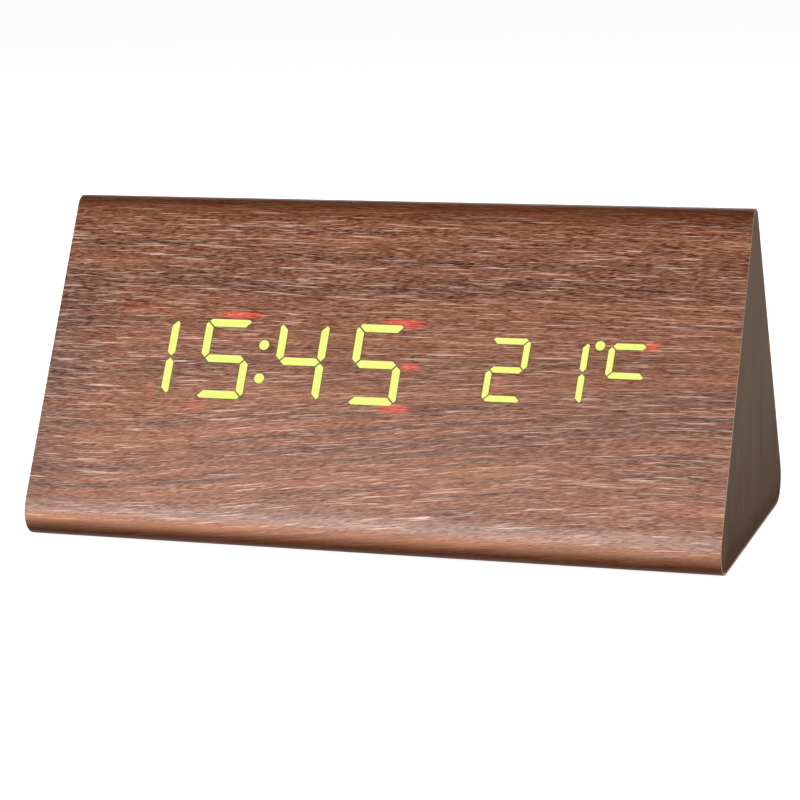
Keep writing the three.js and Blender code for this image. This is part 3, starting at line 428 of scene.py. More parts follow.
# Pale bands beside the bends: how far down from the ridge, half width and the pale grain that they add.
# The two that add paint a highlight along the lower bend, and the two that take away paint shade at the
# ridge and along the bottom edge.
HIGHLIGHT_AND_SHADE_BANDS_MM = [(75.2, 1.3, 0.09), (0.0, 7.0, -0.017), (78.8, 1.8, -0.022), (73.2, 2.4, 0.025)]
# Places where red light leaks through: across, up the slope, half length, half height and strength.
LEAKS_MM = [
    (-32.8, 52.9, 4.6, 0.75, 0.46), (3.6, 52.2, 4.4, 0.9, 0.5), (6.3, 42.7, 1.9, 0.8, 0.5),
    (4.2, 33.4, 3.2, 0.85, 0.52), (57.1, 49.1, 1.5, 0.9, 0.4), (-50.6, 35.6, 0.8, 1.8, 0.12),
    (-40.0, 32.3, 2.4, 0.9, 0.13), (-21.6, 44.0, 1.6, 0.7, 0.15), (25.4, 40.0, 0.7, 1.4, 0.2),
    (-55.0, 54.0, 6.0, 0.8, 0.08),
]
print(f"{len(FLOW_LINES_MM)} dark lines, {len(GRAIN_LIGHT_AND_SHADE_BANDS_MM) + len(HIGHLIGHT_AND_SHADE_BANDS_MM)} bands, {len(LEAKS_MM)} leaks")

# %% [markdown]
# The grain is built in layers, and each layer is one noise or one set of marks. A fine noise that is
# stretched a hundred times shows its grid: its cells stand above each other, as upright columns. So the
# grids of the fine layers lean, some to the right and some to the left.

# %% Bend the grain and add its layers
WANDER_MM = 3.5
RISE_MM = 13.0
# Along the run: where the rise of the grain begins, where it is full, where it fades and where it ends.
RISING_RUN_MM = (-33.0, 20.0, 28.0, 60.0)
# Millimetres by which a leaning grid moves along the grain for each one across it.
SLANT = 7.0
# Lean of the grid, waves for each millimetre along and across the grain, seed, detail and roughness.
GRAIN_NOISES = {
    "broad": ("level", 0.006, 0.14, 3.0, 2.0, 0.5),
    "streaks": ("level", 0.02, 0.6, 7.0, 4.0, 0.6),
    "strands": ("falling", 0.05, 1.3, 11.0, 2.0, 0.5),
    "grains": ("rising", 0.16, 4.0, 5.0, 2.0, 0.6),
    "speckle": ("falling", 0.9, 5.5, 29.0, 1.0, 0.5),
}
# Length and height of a scratch's cell in millimetres, and the share of the cells that have one.
LONG_SCRATCH = (14.0, 0.23, 0.34)
SHORT_SCRATCH = (6.5, 0.21, 0.34)
PIT = (6.0, 0.40, 0.40)
PIT_SHIFT_MM = 7.0
# The short scratches and the pits are read this far away, so that they don't repeat the long scratches.
OTHER_PLACE_MM = 50.0
# Size of the ellipse in a scratch's cell: the least, what the cell's random number adds, and the blur.
ELLIPSE_LEAST, ELLIPSE_MORE, ELLIPSE_BLUR = 0.10, 0.30, 0.06


def grain_flow(across, run):
    """The run as the grain follows it. It wanders a little, and in the lower half of the lit face it
    rises from left to right."""
    wander = noise(vector(across * 0.014, run * 0.035), detail=1.0) - 0.5
    to_the_right = step_up(across, -HALF_LENGTH_MM, HALF_LENGTH_MM)
    return run + wander * WANDER_MM - to_the_right * between(run, *RISING_RUN_MM) * RISE_MM


def scratches(across, run, length, height, share):
    """Thin ellipses lying along the grain: one in each cell of a Voronoi pattern that is stretched to the
    given length and height, kept where the cell's random number is below the share."""
    place = vector(across / length, run / height)
    settings = {"voronoi_dimensions": "2D", "feature": "F1"}
    near = place.node("ShaderNodeTexVoronoi", settings, {"Vector": place, "Scale": 1.0, "Randomness": 1.0})
    chance, size, _ = parts(near.also("Color"))
    kept = chance.math("LESS_THAN", chance, share)
    inside = step_up(size * ELLIPSE_MORE + ELLIPSE_LEAST - near, 0.0, ELLIPSE_BLUR)
    return inside * kept * (0.5 + size * 0.5)


def grain_layers(across, flow):
    """The layers of the grain by name. The noises are 0 on average, the marks are 0 between them."""
    along = {"level": across, "rising": across + flow * SLANT, "falling": across - flow * SLANT}
    layers = {}
    for name, (lean, waves_along, waves_across, seed, detail, roughness) in GRAIN_NOISES.items():
        place = vector(along[lean] * waves_along, flow * waves_across, seed)
        layers[name] = noise(place, detail, roughness) - 0.5

    bent = flow + layers["strands"] * 0.9
    patchy = step_up(noise(vector(across * 0.05, flow * 0.35, 37.0)), 0.32, 0.6)
    pale_lines = scratches(along["rising"], bent, *LONG_SCRATCH)
    pale_lines = pale_lines + scratches(along["falling"], bent + OTHER_PLACE_MM, *SHORT_SCRATCH) * 0.8
    layers["pale_lines"] = pale_lines * (0.65 + patchy * 0.35)

    pits = scratches(along["rising"] + PIT_SHIFT_MM, bent - OTHER_PLACE_MM, *PIT)
    pores = noise(vector(along["falling"] * 0.13, flow * 2.6, 53.0), detail=2.0)
    layers["pits"] = pits + step_up(pores, 0.60, 0.72) * 0.5
    return layers


print(f"{len(GRAIN_NOISES)} noises and three sets of marks make the grain")

# %% [markdown]
# The layers are weighed three times: once for how strong the brown is, once for the pale grain over it
# and once for the relief. The bands, the dark lines and the leaks have places on the film. Each band or
# line is a bell-shaped hump about its place, and a leak is flat on top, because its light comes through
# a well.

# %% Weigh the layers and place the bands
TONE_WEIGHTS = {"broad": 0.95, "streaks": 1.45, "strands": 0.22, "dark": -0.8, "pits": -0.12}
PALE_WEIGHTS = {
    "streaks": 0.05, "strands": 0.05, "grains": 0.24, "speckle": 0.70, "pale_lines": 0.41, "pits": -0.09,
}
RELIEF_WEIGHTS = {"grains": 1.0, "strands": 0.6, "pits": -0.5, "pale_lines": 0.3}
# The left end is darker: where that begins, how much, and how much more half way up the lit face.
LEFT_END_MM = -58.0
LEFT_DARKER, HALF_WAY_DARKER = 0.015, 0.05
HALF_WAY_UP_MM = (6.0, 16.0, 50.0, 66.0)
# Down from the ridge: the slopes between which the pale grain is full, and what is left on the bends.
# Less pale grain on the bends is painted shade there.
FLATS_MM = (2.5, 8.5, 73.5, 77.0)
PALE_KEPT_IN_BEND_SHADE = 0.15


def weighted(layers, weights):
    """The sum of each named layer times its weight."""
    return sum(layers[name] * weight for name, weight in weights.items())


def banded(value, start, bands):
    """The start, plus a hump of the value about each band's centre times the band's strength."""
    total = start
    for centre, half_width, strength in bands:
        total = hump(value, centre, half_width) * strength + total
    return total


def flow_lines(across, flow, strands):
    """The dark lines, faded out in places by a noise that is stretched along them."""
    fading = step_up(noise(vector(across * 0.05, flow * 0.6, 19.0), detail=3.0), 0.28, 0.56)
    return banded(flow + strands * 1.6, 0.0, FLOW_LINES_MM) * fading


def brown_level(across, run):
    """The bands of grain, painted light and painted shade, less a little at the left end, which is darker
    half way up the lit face.
    """
    darker = LEFT_DARKER + between(run, *HALF_WAY_UP_MM) * HALF_WAY_DARKER
    return banded(run, MEAN_BROWN, GRAIN_LIGHT_AND_SHADE_BANDS_MM) - step_up(across, LEFT_END_MM, -HALF_LENGTH_MM) * darker


def pale_share(layers, down):
    """The pale grain, which is weaker on the bends than on the flats as painted shade, and the bands of
    painted highlight and shade beside them.
    """
    strength = PALE_KEPT_IN_BEND_SHADE + between(down, *FLATS_MM) * (1.0 - PALE_KEPT_IN_BEND_SHADE)
    pale = (weighted(layers, PALE_WEIGHTS) + MEAN_PALE) * strength
    return banded(down, pale, HIGHLIGHT_AND_SHADE_BANDS_MM)


def leaked_light(across, run, layers):
    """Flat-topped spots of red light, broken up by the grain."""
    leak = 0.0
    for x, up_slope, half_length, half_height, strength in LEAKS_MM:
        leak = plateau(across, x, half_length) * plateau(run, up_slope, half_height) * strength + leak
    return scaled(LEAK_RED, leak * (1.0 + layers["streaks"] * 2.0 + layers["strands"] * 1.5).clamped())


print(f"the brown weighs {len(TONE_WEIGHTS)} layers, the pale grain {len(PALE_WEIGHTS)}")

# %% Put the walnut finish together
RELIEF_DEPTH_MM = 0.05
CUT_EDGE_WIDTH_MM = 0.06
CUT_EDGE_BLUR_MM = 0.04
LEAST_LACQUER, MORE_LACQUER = 0.005, 0.54
# Down from the ridge: where the lacquer's shine grows, and where it ends.
LACQUER_GROWS_MM, LACQUER_ENDS_MM = (10.0, 62.0), (75.0, 78.8)


def walnut(start):
    """The film's finish. The lacquer grows from the ridge down the face and ends at the lower bend."""
    across, run, _ = parts(start.node("ShaderNodeUVMap", {"uv_map": "film"}, {}))
    down = run.math("ABSOLUTE", run - RIDGE_RUN_MM)
    flow = grain_flow(across, run)
    layers = grain_layers(across, flow)
    layers["dark"] = flow_lines(across, flow, layers["strands"])

    tone = 1.0 + weighted(layers, TONE_WEIGHTS)
    brown = brown_level(across, run) * tone.math("MAXIMUM", tone, LEAST_TONE)
    colour = summed(scaled(BROWN, brown), scaled(PALE_GRAIN, pale_share(layers, down)))
    colour = colour.node("ShaderNodeVectorMath", {"operation": "MAXIMUM"}, {0: colour, 1: DARKEST})
    to_end = HALF_LENGTH_MM - across.math("ABSOLUTE", across)
    in_film = step_up(to_end, CUT_EDGE_WIDTH_MM - CUT_EDGE_BLUR_MM, CUT_EDGE_WIDTH_MM)
    lacquer = LEAST_LACQUER + step_up(down, *LACQUER_GROWS_MM) * MORE_LACQUER
    lacquer = lacquer * (1.0 - step_up(down, *LACQUER_ENDS_MM))
    return {
        "Base Color": mix(in_film, CUT_EDGE, colour),
        "Roughness": 0.45 + layers["grains"] * 0.3,
        "Coat Weight": lacquer,
        "Emission Color": leaked_light(across, run, layers),
        "Normal": bump(weighted(layers, RELIEF_WEIGHTS), RELIEF_DEPTH_MM),
    }


film_finish = finish("walnut_film", {
    "Emission Strength": 1.0, "Specular IOR Level": 0.06, "Coat Roughness": 0.28,
}, walnut)
print(f"{len(film_finish.node_tree.nodes)} nodes in the walnut pattern")


# %% [markdown]
# ## The film
# The real film is one sheet, half a millimetre thick, rolled round the boards. Here its cross-section, a
# thin slab with slightly broken corners, is carried along the wedge outline. The holes for the buttons,
# the socket and the microphone and the opening of the battery bay are cut afterwards.

# %% Carry the film's section along the outline
EDGE_BREAK = 0.07 * MM


def carried(section):
    """For outline point p with normal n and section point (x, inset): (x, p - inset * n)."""
    x, inset = section.T
    flat = outline[:, None] - inset[None, :, None] * outline_normals[:, None]
    along = np.broadcast_to(x[None, :, None], flat.shape[:2] + (1,))
    return np.concatenate([along, flat], -1)


def sheet_section(end, outside, inside, edge_break):
    """A slab from -end to end along X, between two insets, with its corners broken."""
    return np.array([
        (-end + edge_break, outside), (end - edge_break, outside), (end, outside + edge_break),
        (end, inside - edge_break), (end - edge_break, inside), (-end + edge_break, inside),
        (-end, inside - edge_break), (-end, outside + edge_break),
    ])


film_section = sheet_section(CASE_END, 0.0, FILM, EDGE_BREAK)
film_points = carried(film_section)
film_faces = grid_faces(len(outline), len(film_section), True, True)[:, ::-1]
film = add_object("film", film_points, film_faces)
film_columns = np.append(film_section[:, 0], film_section[0, 0]) / MM
film_uv = grid_corner_values(outline_run / MM, film_columns).reshape(-1, 4, 2)[:, ::-1]
set_uv(film, "film", film_uv)
print(f"film: {len(film.data.polygons)} faces")

# %% [markdown]
# ## Cutting the openings
# The holes for the buttons, the socket and the microphone are drilled square to the rear face. Their
# places come from the frame: each is the middle of its node, as it is seen along that face's normal. So
# the rear face gets a frame of its own, with the ways across, up the slope and out, and so does the
# lit face, for the figures.

# %% Give both faces a frame of their own
REAR_SLOPE_UP = np.array((0, -math.sin(LEAN), math.cos(LEAN)))
REAR_NORMAL = np.array((0, math.cos(LEAN), math.sin(LEAN)))
REAR_AXES = np.array([(-1.0, 0, 0), REAR_SLOPE_UP, REAR_NORMAL])
REAR_ORIGIN = np.array((0, SHARP_DEPTH / 2, 0))
FRONT_AXES = np.array([(1.0, 0, 0), SLOPE_UP, FRONT_NORMAL])
FRONT_ORIGIN = np.array((0, -SHARP_DEPTH / 2, 0))


def node_points(name):
    """The corner points of a node's mesh."""
    mesh = nodes[name].data
    points = np.empty(len(mesh.vertices) * 3, np.float32)
    mesh.vertices.foreach_get("co", points)
    return points.reshape(-1, 3).astype(float)


def in_face(points, origin, axes):
    """Places in a face's own frame: across, up the slope and out of the face."""
    return (points - origin) @ axes.T


def face_middle(name, origin, axes):
    """Middle of a node's box in a face's frame, across and up the slope."""
    local = in_face(node_points(name), origin, axes)
    return ((local.min(0) + local.max(0)) / 2)[:2]


KEY_NAMES = ["set", "up", "down"]
key_centres = {name: face_middle(f"{name}_button", REAR_ORIGIN, REAR_AXES) for name in KEY_NAMES}
socket_centre = face_middle("dc_jack", REAR_ORIGIN, REAR_AXES)
sound_centre = face_middle("microphone", REAR_ORIGIN, REAR_AXES)
print(f"buttons at {[np.round(centre / MM, 2).tolist() for centre in key_centres.values()]} mm")


# %% [markdown]
# A round tool is a turned profile, and so are the button caps, the pin, the cells and the domes of their
# contacts. A modifier could spin a profile too, but rings worked out at once need no second step, and the
# tips on the axis are closed with fans of triangles.

# %% Turn a profile about an axis
ROUND_SIDES = 64


def turned(profile, centre, origin, axes):
    """A profile of (radius, height) turned about the axis through centre, out of a face:
    centre + radius * (cos a, sin a), at that height. It closes where the radius is zero."""
    radius, height = np.array(profile).T
    angle = np.linspace(0, 2 * math.pi, ROUND_SIDES, endpoint=False)
    ring = np.stack([np.cos(angle), np.sin(angle)], 1)
    flat = centre + radius[:, None, None] * ring
    local = np.concatenate([flat, np.broadcast_to(height[:, None, None], flat.shape[:2] + (1,))], -1)
    return origin + local @ axes


def closed_shell(rings, first_tip, last_tip):
    """Rings of points joined by quads, and a fan of triangles to a point at each end: points, faces."""
    rows, sides = rings.shape[:2]
    quads = grid_faces(rows, sides, False, True)[:, ::-1].tolist()
    first, last, high = rows * sides, rows * sides + 1, (rows - 1) * sides
    step = np.arange(sides)
    following = (step + 1) % sides
    low_fan = np.stack([np.full(sides, first), following, step], 1).tolist()
    high_fan = np.stack([np.full(sides, last), high + step, high + following], 1).tolist()
    return np.concatenate([rings.reshape(-1, 3), [first_tip, last_tip]]), quads + low_fan + high_fan


def turned_shell(profile, centre, origin, axes):
    """The turned surface of a profile whose first and last radius are zero."""
    first_tip, last_tip = (origin + np.append(centre, profile[i][1]) @ axes for i in (0, -1))
    return closed_shell(turned(profile[1:-1], centre, origin, axes), first_tip, last_tip)


def shells_object(name, shells):
    """One object of several shells, each given as points and faces."""
    counts = [len(points) for points, _ in shells]
    starts = np.cumsum([0] + counts[:-1]).tolist()
    faces = [[corner + start for corner in face]
             for start, (_, shell_faces) in zip(starts, shells) for face in shell_faces]
    return add_object(name, np.concatenate([points for points, _ in shells]), faces)


def turned_object(name, profile, centre, origin=REAR_ORIGIN, axes=REAR_AXES):
    """One turned piece, standing on the rear face unless another frame is given."""
    return shells_object(name, [turned_shell(profile, centre, origin, axes)])


print(f"a turned piece has {ROUND_SIDES} sides")

# %% Cut the holes and the opening of the bay
BUTTON_HOLE = 6.5 * MM
SOCKET_HOLE = 8.4 * MM
SOUND_HOLE = 1.6 * MM
BAY_CLEARANCE = 0.3 * MM
OVERRUN = 2 * MM


def box_object(name, low, high):
    """A box between its lowest and its highest corner."""
    corners = np.stack(np.meshgrid(*zip(low, high), indexing="ij"), -1).reshape(-1, 3)
    sides = [(0, 1, 3, 2), (4, 6, 7, 5), (0, 4, 5, 1), (2, 3, 7, 6), (0, 2, 6, 4), (1, 5, 7, 3)]
    return add_object(name, corners, sides)


def cut(piece, tools):
    """Subtracts the tools from the piece and keeps the result as its mesh."""
    for tool in tools:
        modifier = piece.modifiers.new(tool.name, "BOOLEAN")
        modifier.object = tool
        modifier.operation = "DIFFERENCE"
        modifier.solver = "EXACT"
    graph = bpy.context.evaluated_depsgraph_get()
    result = bpy.data.meshes.new_from_object(piece.evaluated_get(graph))
    result.set_sharp_from_angle(angle=SMOOTH_BELOW)
    piece.modifiers.clear()
    piece.data = result
    for tool in tools:
        bpy.data.objects.remove(tool)


def hole_tool(name, diameter, centre):
    """A round tool that reaches past both sides of the film."""
    radius = diameter / 2
    return turned_object(name, [(0, -OVERRUN), (radius, -OVERRUN), (radius, OVERRUN), (0, OVERRUN)], centre)


bay_low, bay_high = (np.array(corner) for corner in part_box("battery_box"))
margin = np.array((BAY_CLEARANCE, BAY_CLEARANCE, OVERRUN))

tools = [hole_tool(f"{name}_tool", BUTTON_HOLE, key_centres[name]) for name in KEY_NAMES]
tools.append(hole_tool("socket_tool", SOCKET_HOLE, socket_centre))
tools.append(hole_tool("sound_tool", SOUND_HOLE, sound_centre))
tools.append(box_object("bay_tool", bay_low - margin, np.append((bay_high + margin)[:2], OVERRUN)))
cut(film, tools)
film.data.materials.append(film_finish)
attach(film, "case")
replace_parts(film, "veneer_wrap")
print(f"film after cutting: {len(film.data.polygons)} faces")

# %% [markdown]
# ## End sheets
# Each end is closed by a plain sheet the colour of taupe paper, with a faint upright grain. The outline
# of the film's inside, shrunk by a hair, is filled to make it, and its rim is broken a little.

# %% Write the end sheet's finish and fill the outline
TAUPE = srgb(106, 89, 76)
TAUPE_DARK = srgb(74, 54, 41)
TAUPE_SPECK = srgb(58, 38, 32)
END_GAP = 0.03 * MM
END_THICKNESS = 0.5 * MM
RIM_BREAK = 0.12 * MM


def taupe_paper(start):
    """Upright fibres and clouds, darker towards the table, with a painted shade along the base edge and a
    few specks.
    """
    x, y, z = object_place(start)
    grain = noise(vector(x * 0.1, y * 2.4, z * 0.06), detail=4.0, roughness=0.6)
    fibres = noise(vector(x, y * 9.0, z * 0.45), detail=2.0, roughness=0.6)
    clouds = noise(vector(x * 0.1, y * 0.12, z * 0.05), detail=2.0)
    specks = noise(vector(x, y * 1.8, z * 1.8), detail=1.0)
    low_down = 1.0 - step_up(z, -4.0, 34.0)
    # The dark strip along the base edge is painted shade.
    painted_base_shade = 1.0 - step_up(z, 0.4, 7.0)
    shade = (grain - 0.5) * 0.9 + (fibres - 0.5) * 0.8 + (clouds - 0.5) * 0.7
    shade = (shade + 0.12 + low_down * 0.6 + painted_base_shade * 0.5).clamped()
    colour = mix(shade, TAUPE, TAUPE_DARK)
    colour = mix((1.0 - step_up(specks, 0.18, 0.24)) * 0.5, colour, TAUPE_SPECK)
    return {"Base Color": colour, "Normal": bump(grain, 0.02)}


end_finish = finish("taupe_paper", {"Roughness": 0.85, "Specular IOR Level": 0.03}, taupe_paper)


def end_sheet(name, side):
    """Rings of the outline at growing insets, from the inner face over the broken rim to the outer
    face, closed by one flat face at each end."""
    rim = FILM + END_GAP
    inner, outer = CASE_END - END_THICKNESS, CASE_END - EDGE_BREAK / 2
    rings = np.array([(inner, rim), (outer - RIM_BREAK, rim), (outer, rim + RIM_BREAK)])
    points = carried(rings * (side, 1.0))
    rows, columns = points.shape[:2]
    faces = grid_faces(rows, columns, True, False)
    ends = [np.arange(rows) * columns + column for column in (0, columns - 1)]
    # The two ends mirror each other, so the corners of their faces run in opposite ways.
    faces = faces[:, ::-1] if side > 0 else faces
    caps = [ends[0], ends[1][::-1]] if side > 0 else [ends[0][::-1], ends[1]]
    piece = add_object(name, points, faces.tolist() + [cap.tolist() for cap in caps])
    piece.data.materials.append(end_finish)
    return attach(piece, "case")


for side, which in ((-1, "left"), (1, "right")):
    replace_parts(end_sheet(f"end_sheet_{which}", side), f"{which}_end_veneer")
print("two end sheets")

# %% [markdown]
# ## Lit bars
# In the frame, a cast light guide stands behind each figure, and its bars end in flat tips under the
# film. The light that comes through the film has the outlines of those tips. So each guide's mesh is
# read, its triangles that lie in the outermost plane are grouped into bars, and each bar is named by
# where it stands. Those that are lit for the time 15:45 and for 21 degrees get a patch. The colon and
# the sign for degrees shine whole.

# %% Read the outlines of the tips from the light guides
TOUCH = 1e-6


def tip_outlines(name):
    """Outline of each flat tip of a light guide, as across and up the slope, in order round the tip."""
    local = in_face(node_points(name), FRONT_ORIGIN, FRONT_AXES)
    _, first, number = np.unique(np.round(local, 6), axis=0, return_index=True, return_inverse=True)
    mesh = nodes[name].data
    triangles = np.empty(len(mesh.polygons) * 3, np.int32)
    mesh.polygons.foreach_get("vertices", triangles)
    triangles = number.ravel()[triangles].reshape(-1, 3)
    points = local[first]
    in_plane = (points[triangles, 2] > points[:, 2].max() - TOUCH).all(1)
    tips = triangles[in_plane]
    # Triangles that share a point belong to one tip: the lowest number spreads from point to point.
    group = np.arange(len(points))
    for _ in range(tips.shape[0]):
        lowest = group[tips].min(1)
        np.minimum.at(group, tips.ravel(), np.repeat(lowest, 3))
    outlines = []
    for label in np.unique(group[tips]):
        corners = points[np.unique(tips[group[tips].min(1) == label]), :2]
        middle = corners.mean(0)
        turn = np.arctan2(*(corners - middle).T[::-1])
        outlines.append(corners[np.argsort(turn)])
    return outlines


print(f"the guide of the hours has {len(tip_outlines('hours_units_guide'))} bars")


# %% Choose the bars that are lit
def bar_names(outlines):
    """Names the bars of a figure by where their middles stand in the figure's box, counted from its
    middle in halves of its width and quarters of its height."""
    middles = np.array([(bar.min(0) + bar.max(0)) / 2 for bar in outlines])
    low, high = np.concatenate(outlines).min(0), np.concatenate(outlines).max(0)
    share = np.round((middles - (low + high) / 2) / (high - low) * (2, 4)).astype(int)
    names = {(0, 2): "top", (-1, 1): "upper_left", (1, 1): "upper_right", (0, 0): "middle",
             (-1, -1): "lower_left", (1, -1): "lower_right", (0, -2): "bottom"}
    return {names[tuple(place)]: bar for place, bar in zip(share.tolist(), outlines)}


BARS_OF = {
    "1": ("upper_right", "lower_right"),
    "2": ("top", "upper_right", "middle", "lower_left", "bottom"),
    "4": ("upper_left", "upper_right", "middle", "lower_right"),
    "5": ("top", "upper_left", "middle", "lower_right", "bottom"),
}
SHOWN = {
    "hours_tens": "1", "hours_units": "5", "minutes_tens": "4", "minutes_units": "5",
    "temperature_tens": "2", "temperature_units": "1",
}
ALWAYS_LIT = ["colon", "celsius"]


def lit_outlines(figure):
    """The outlines that shine in one figure: its lit bars, and any round dots."""
    tips = tip_outlines(f"{figure}_guide")
    if figure in ALWAYS_LIT:
        return tips
    named = bar_names(tips)
    return [named[bar] for bar in BARS_OF[SHOWN[figure]]]


figures = {figure: lit_outlines(figure) for figure in [*SHOWN, *ALWAYS_LIT]}
print({figure: len(shapes) for figure, shapes in figures.items()})


# %% [markdown]
# A lit bar is light in the film, and nothing lies on the film there. Two thin slabs stand for it: the
# light spreads a little past the bar's tip, and a slightly larger dark slab under it is a painted shadow,
# where the well's wall shades the film round the bar. Emission in the film's own finish could show the
# bars too, but their edges are sharp, and outlines keep them sharp from near by.

# %% Shape the patches
# The tips of bars and strokes have six corners. Any other tip is a round dot.
BAR_CORNERS = 6
DOT_CORNERS = 48
PATCH_FOOT = 0.004 * MM
# The dark slab under each light is a painted shadow: its top, and how far it reaches past the light.
SHADOW_TOP = 0.02 * MM
LIGHT_TOP = 0.035 * MM
LIGHT_SPREAD = 0.06 * MM
SHADOW_WIDTH = 0.12 * MM


def grown(shape, distance):
    """A convex outline with every side moved out by a distance: each corner goes along the middle line
    of its two sides' normals, by distance / cos(half the turn)."""
    along = np.roll(shape, -1, 0) - shape
    along /= np.linalg.norm(along, axis=1, keepdims=True)
    normal = np.stack([along[:, 1], -along[:, 0]], 1)
    middle = normal + np.roll(normal, 1, 0)
    middle /= (middle * np.roll(normal, 1, 0)).sum(1, keepdims=True)
    return shape + middle * distance


def smooth_dot(shape):
    """A round dot as a circle of many corners about the middle of a coarse one."""
    middle = shape.mean(0)
    radius = np.linalg.norm(shape - middle, axis=1).mean()
    angle = np.linspace(0, 2 * math.pi, DOT_CORNERS, endpoint=False)
    return middle + radius * np.stack([np.cos(angle), np.sin(angle)], 1)


def patches(name, shapes, foot, top, material):
    """Each outline as a thin closed slab between two heights above the lit face."""
    points, faces, start = [], [], 0
    for shape in shapes:
        count = len(shape)
        rings = [np.column_stack([shape, np.full(count, height)]) for height in (foot, top)]
        points.extend(FRONT_ORIGIN + ring @ FRONT_AXES for ring in rings)
        step = np.arange(count)
        following = (step + 1) % count
        sides = np.stack([step, following, following + count, step + count], 1) + start
        faces += sides.tolist() + [(step[::-1] + start).tolist(), (step + count + start).tolist()]
        start += 2 * count
    piece = add_object(name, np.concatenate(points), faces)
    piece.data.materials.append(material)
    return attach(piece, "case")


print(f"the light stands {LIGHT_TOP / MM:.3f} mm above the film and its rim {SHADOW_TOP / MM:.3f} mm")

# %% Colour the patches and lay them on the film
LIT_YELLOW = (0.90, 0.98, 0.235)
LIT_GREEN = (0.82, 0.93, 0.18)
# The two dark tones of the painted shadow round each lit bar.
SHADOW_OLIVE = (0.085, 0.052, 0.012)
SHADOW_BROWN = (0.045, 0.025, 0.010)


def lit_film(start):
    """The printed grain dims the light a little in fine streaks."""
    x, y, z = object_place(start)
    grain = noise(vector(x * 0.5, y * 1.6, z * 1.6), detail=3.0)
    return {"Emission Color": mix(step_up(grain, 0.5, 0.8), LIT_YELLOW, LIT_GREEN)}


def well_shadow(start):
    """A painted shadow, where the wall of a well shades the film, in two dark tones."""
    x, y, z = object_place(start)
    return {"Base Color": mix(noise(vector(x, y * 2.0, z * 2.0)), SHADOW_OLIVE, SHADOW_BROWN)}


lit_finish = finish("lit_film", {
    "Base Color": (0.01, 0.01, 0.005), "Roughness": 0.7, "Specular IOR Level": 0.1,
    "Emission Strength": 1.0,
}, lit_film)
well_shadow_finish = finish("painted_well_shadow", {"Roughness": 0.6, "Specular IOR Level": 0.3}, well_shadow)

for figure, shapes in figures.items():
    shapes = [shape if len(shape) == BAR_CORNERS else smooth_dot(shape) for shape in shapes]
    shapes = [grown(shape, LIGHT_SPREAD) for shape in shapes]
    # Each light lies on a larger dark slab, a painted shadow of the well's wall.
    shadow_shapes = [grown(shape, SHADOW_WIDTH) for shape in shapes]
    patches(f"{figure}_rim", shadow_shapes, PATCH_FOOT, SHADOW_TOP, well_shadow_finish)
    patches(f"{figure}_light", shapes, SHADOW_TOP, LIGHT_TOP, lit_finish)
print(f"{sum(len(shapes) for shapes in figures.values())} lit bars, dots and strokes")

# %% [markdown]
# ## Finishes for the pieces inside and behind
# The remaining nodes show through an opened battery door or in a cut-away. Fibreboard is pressed from
# short fibres, so it gets a tangle with darker flecks. A circuit board has copper traces under its green
# mask, which follow a grid of a twentieth of an inch. Steel strips are drawn, which leaves fine lines
# along them. Plastics and sleeves get a faint mottle and a little relief.

# %% Write the finishes of boards and steel
TRACE_PITCH_MM = 1.27
BOARD_TAN, BOARD_BROWN, FLECK_BROWN = srgb(192, 160, 118), srgb(150, 118, 80), srgb(104, 76, 50)
MASK_GREEN, TRACE_GREEN = srgb(24, 80, 50), srgb(46, 124, 76)
STEEL_LIGHT, STEEL_DARK = srgb(204, 206, 209), srgb(160, 162, 167)


def pressed_fibres(start):
    """Fibreboard: a tangle in two tans with brown flecks."""
    x, y, z = object_place(start)
    tangle = noise(vector(x * 1.6, y * 1.6, z * 1.6), detail=4.0, roughness=0.65)
    flecks = step_up(noise(vector(x * 1.1, y * 3.2, z * 1.9), detail=1.0), 0.60, 0.68)
    colour = mix(flecks * 0.6, mix(tangle, BOARD_BROWN, BOARD_TAN), FLECK_BROWN)
    return {"Base Color": colour, "Normal": bump(tangle + flecks * 0.3, 0.05)}


def traces(across, along, seed):
    """Lines in the middle of each step of the grid. A noise that changes from line to line, and slowly
    along a line, decides where there is one."""
    line = across / TRACE_PITCH_MM
    number = line.math("FLOOR", line)
    present = step_up(noise(vector(number * 3.7, along * 0.12, seed), detail=0.0), 0.50, 0.51)
    return plateau(line - number, 0.5, 0.17) * present


def masked_copper(start):
    """A circuit board: copper traces both ways under a green mask."""
    x, y, z = object_place(start)
    copper = (traces(z, x, 2.0) + traces(x, z, 9.0)).clamped()
    gloss = noise(vector(x * 0.8, y * 0.8, z * 0.8))
    colour = mix(copper * 0.7 + gloss * 0.2, MASK_GREEN, TRACE_GREEN)
    return {"Base Color": colour, "Normal": bump(copper, 0.03)}


def drawn_steel(start):
    """Steel strip with fine lines along it and slow stains."""
    x, y, z = object_place(start)
    lines = noise(vector(x * 9.0, y * 0.5, z * 9.0), detail=3.0)
    stains = noise(vector(x * 0.3, y * 0.3, z * 0.3))
    return {"Base Color": mix(stains, STEEL_DARK, STEEL_LIGHT), "Roughness": lines * 0.3 + 0.16}


print(f"traces every {TRACE_PITCH_MM} mm")


# %% Write the plain finishes
def speckled(light, dark, scale, depth_mm, **constants):
    """A finish that wavers between two colours in small grains, with a slight relief. The scale is in
    grains for each millimetre."""
    def recipe(start):
        x, y, z = object_place(start)
        grains = noise(vector(x * scale, y * scale, z * scale), detail=3.0, roughness=0.6)
        return {"Base Color": mix(grains, dark, light), "Normal": bump(grains, depth_mm)}
    return recipe, constants


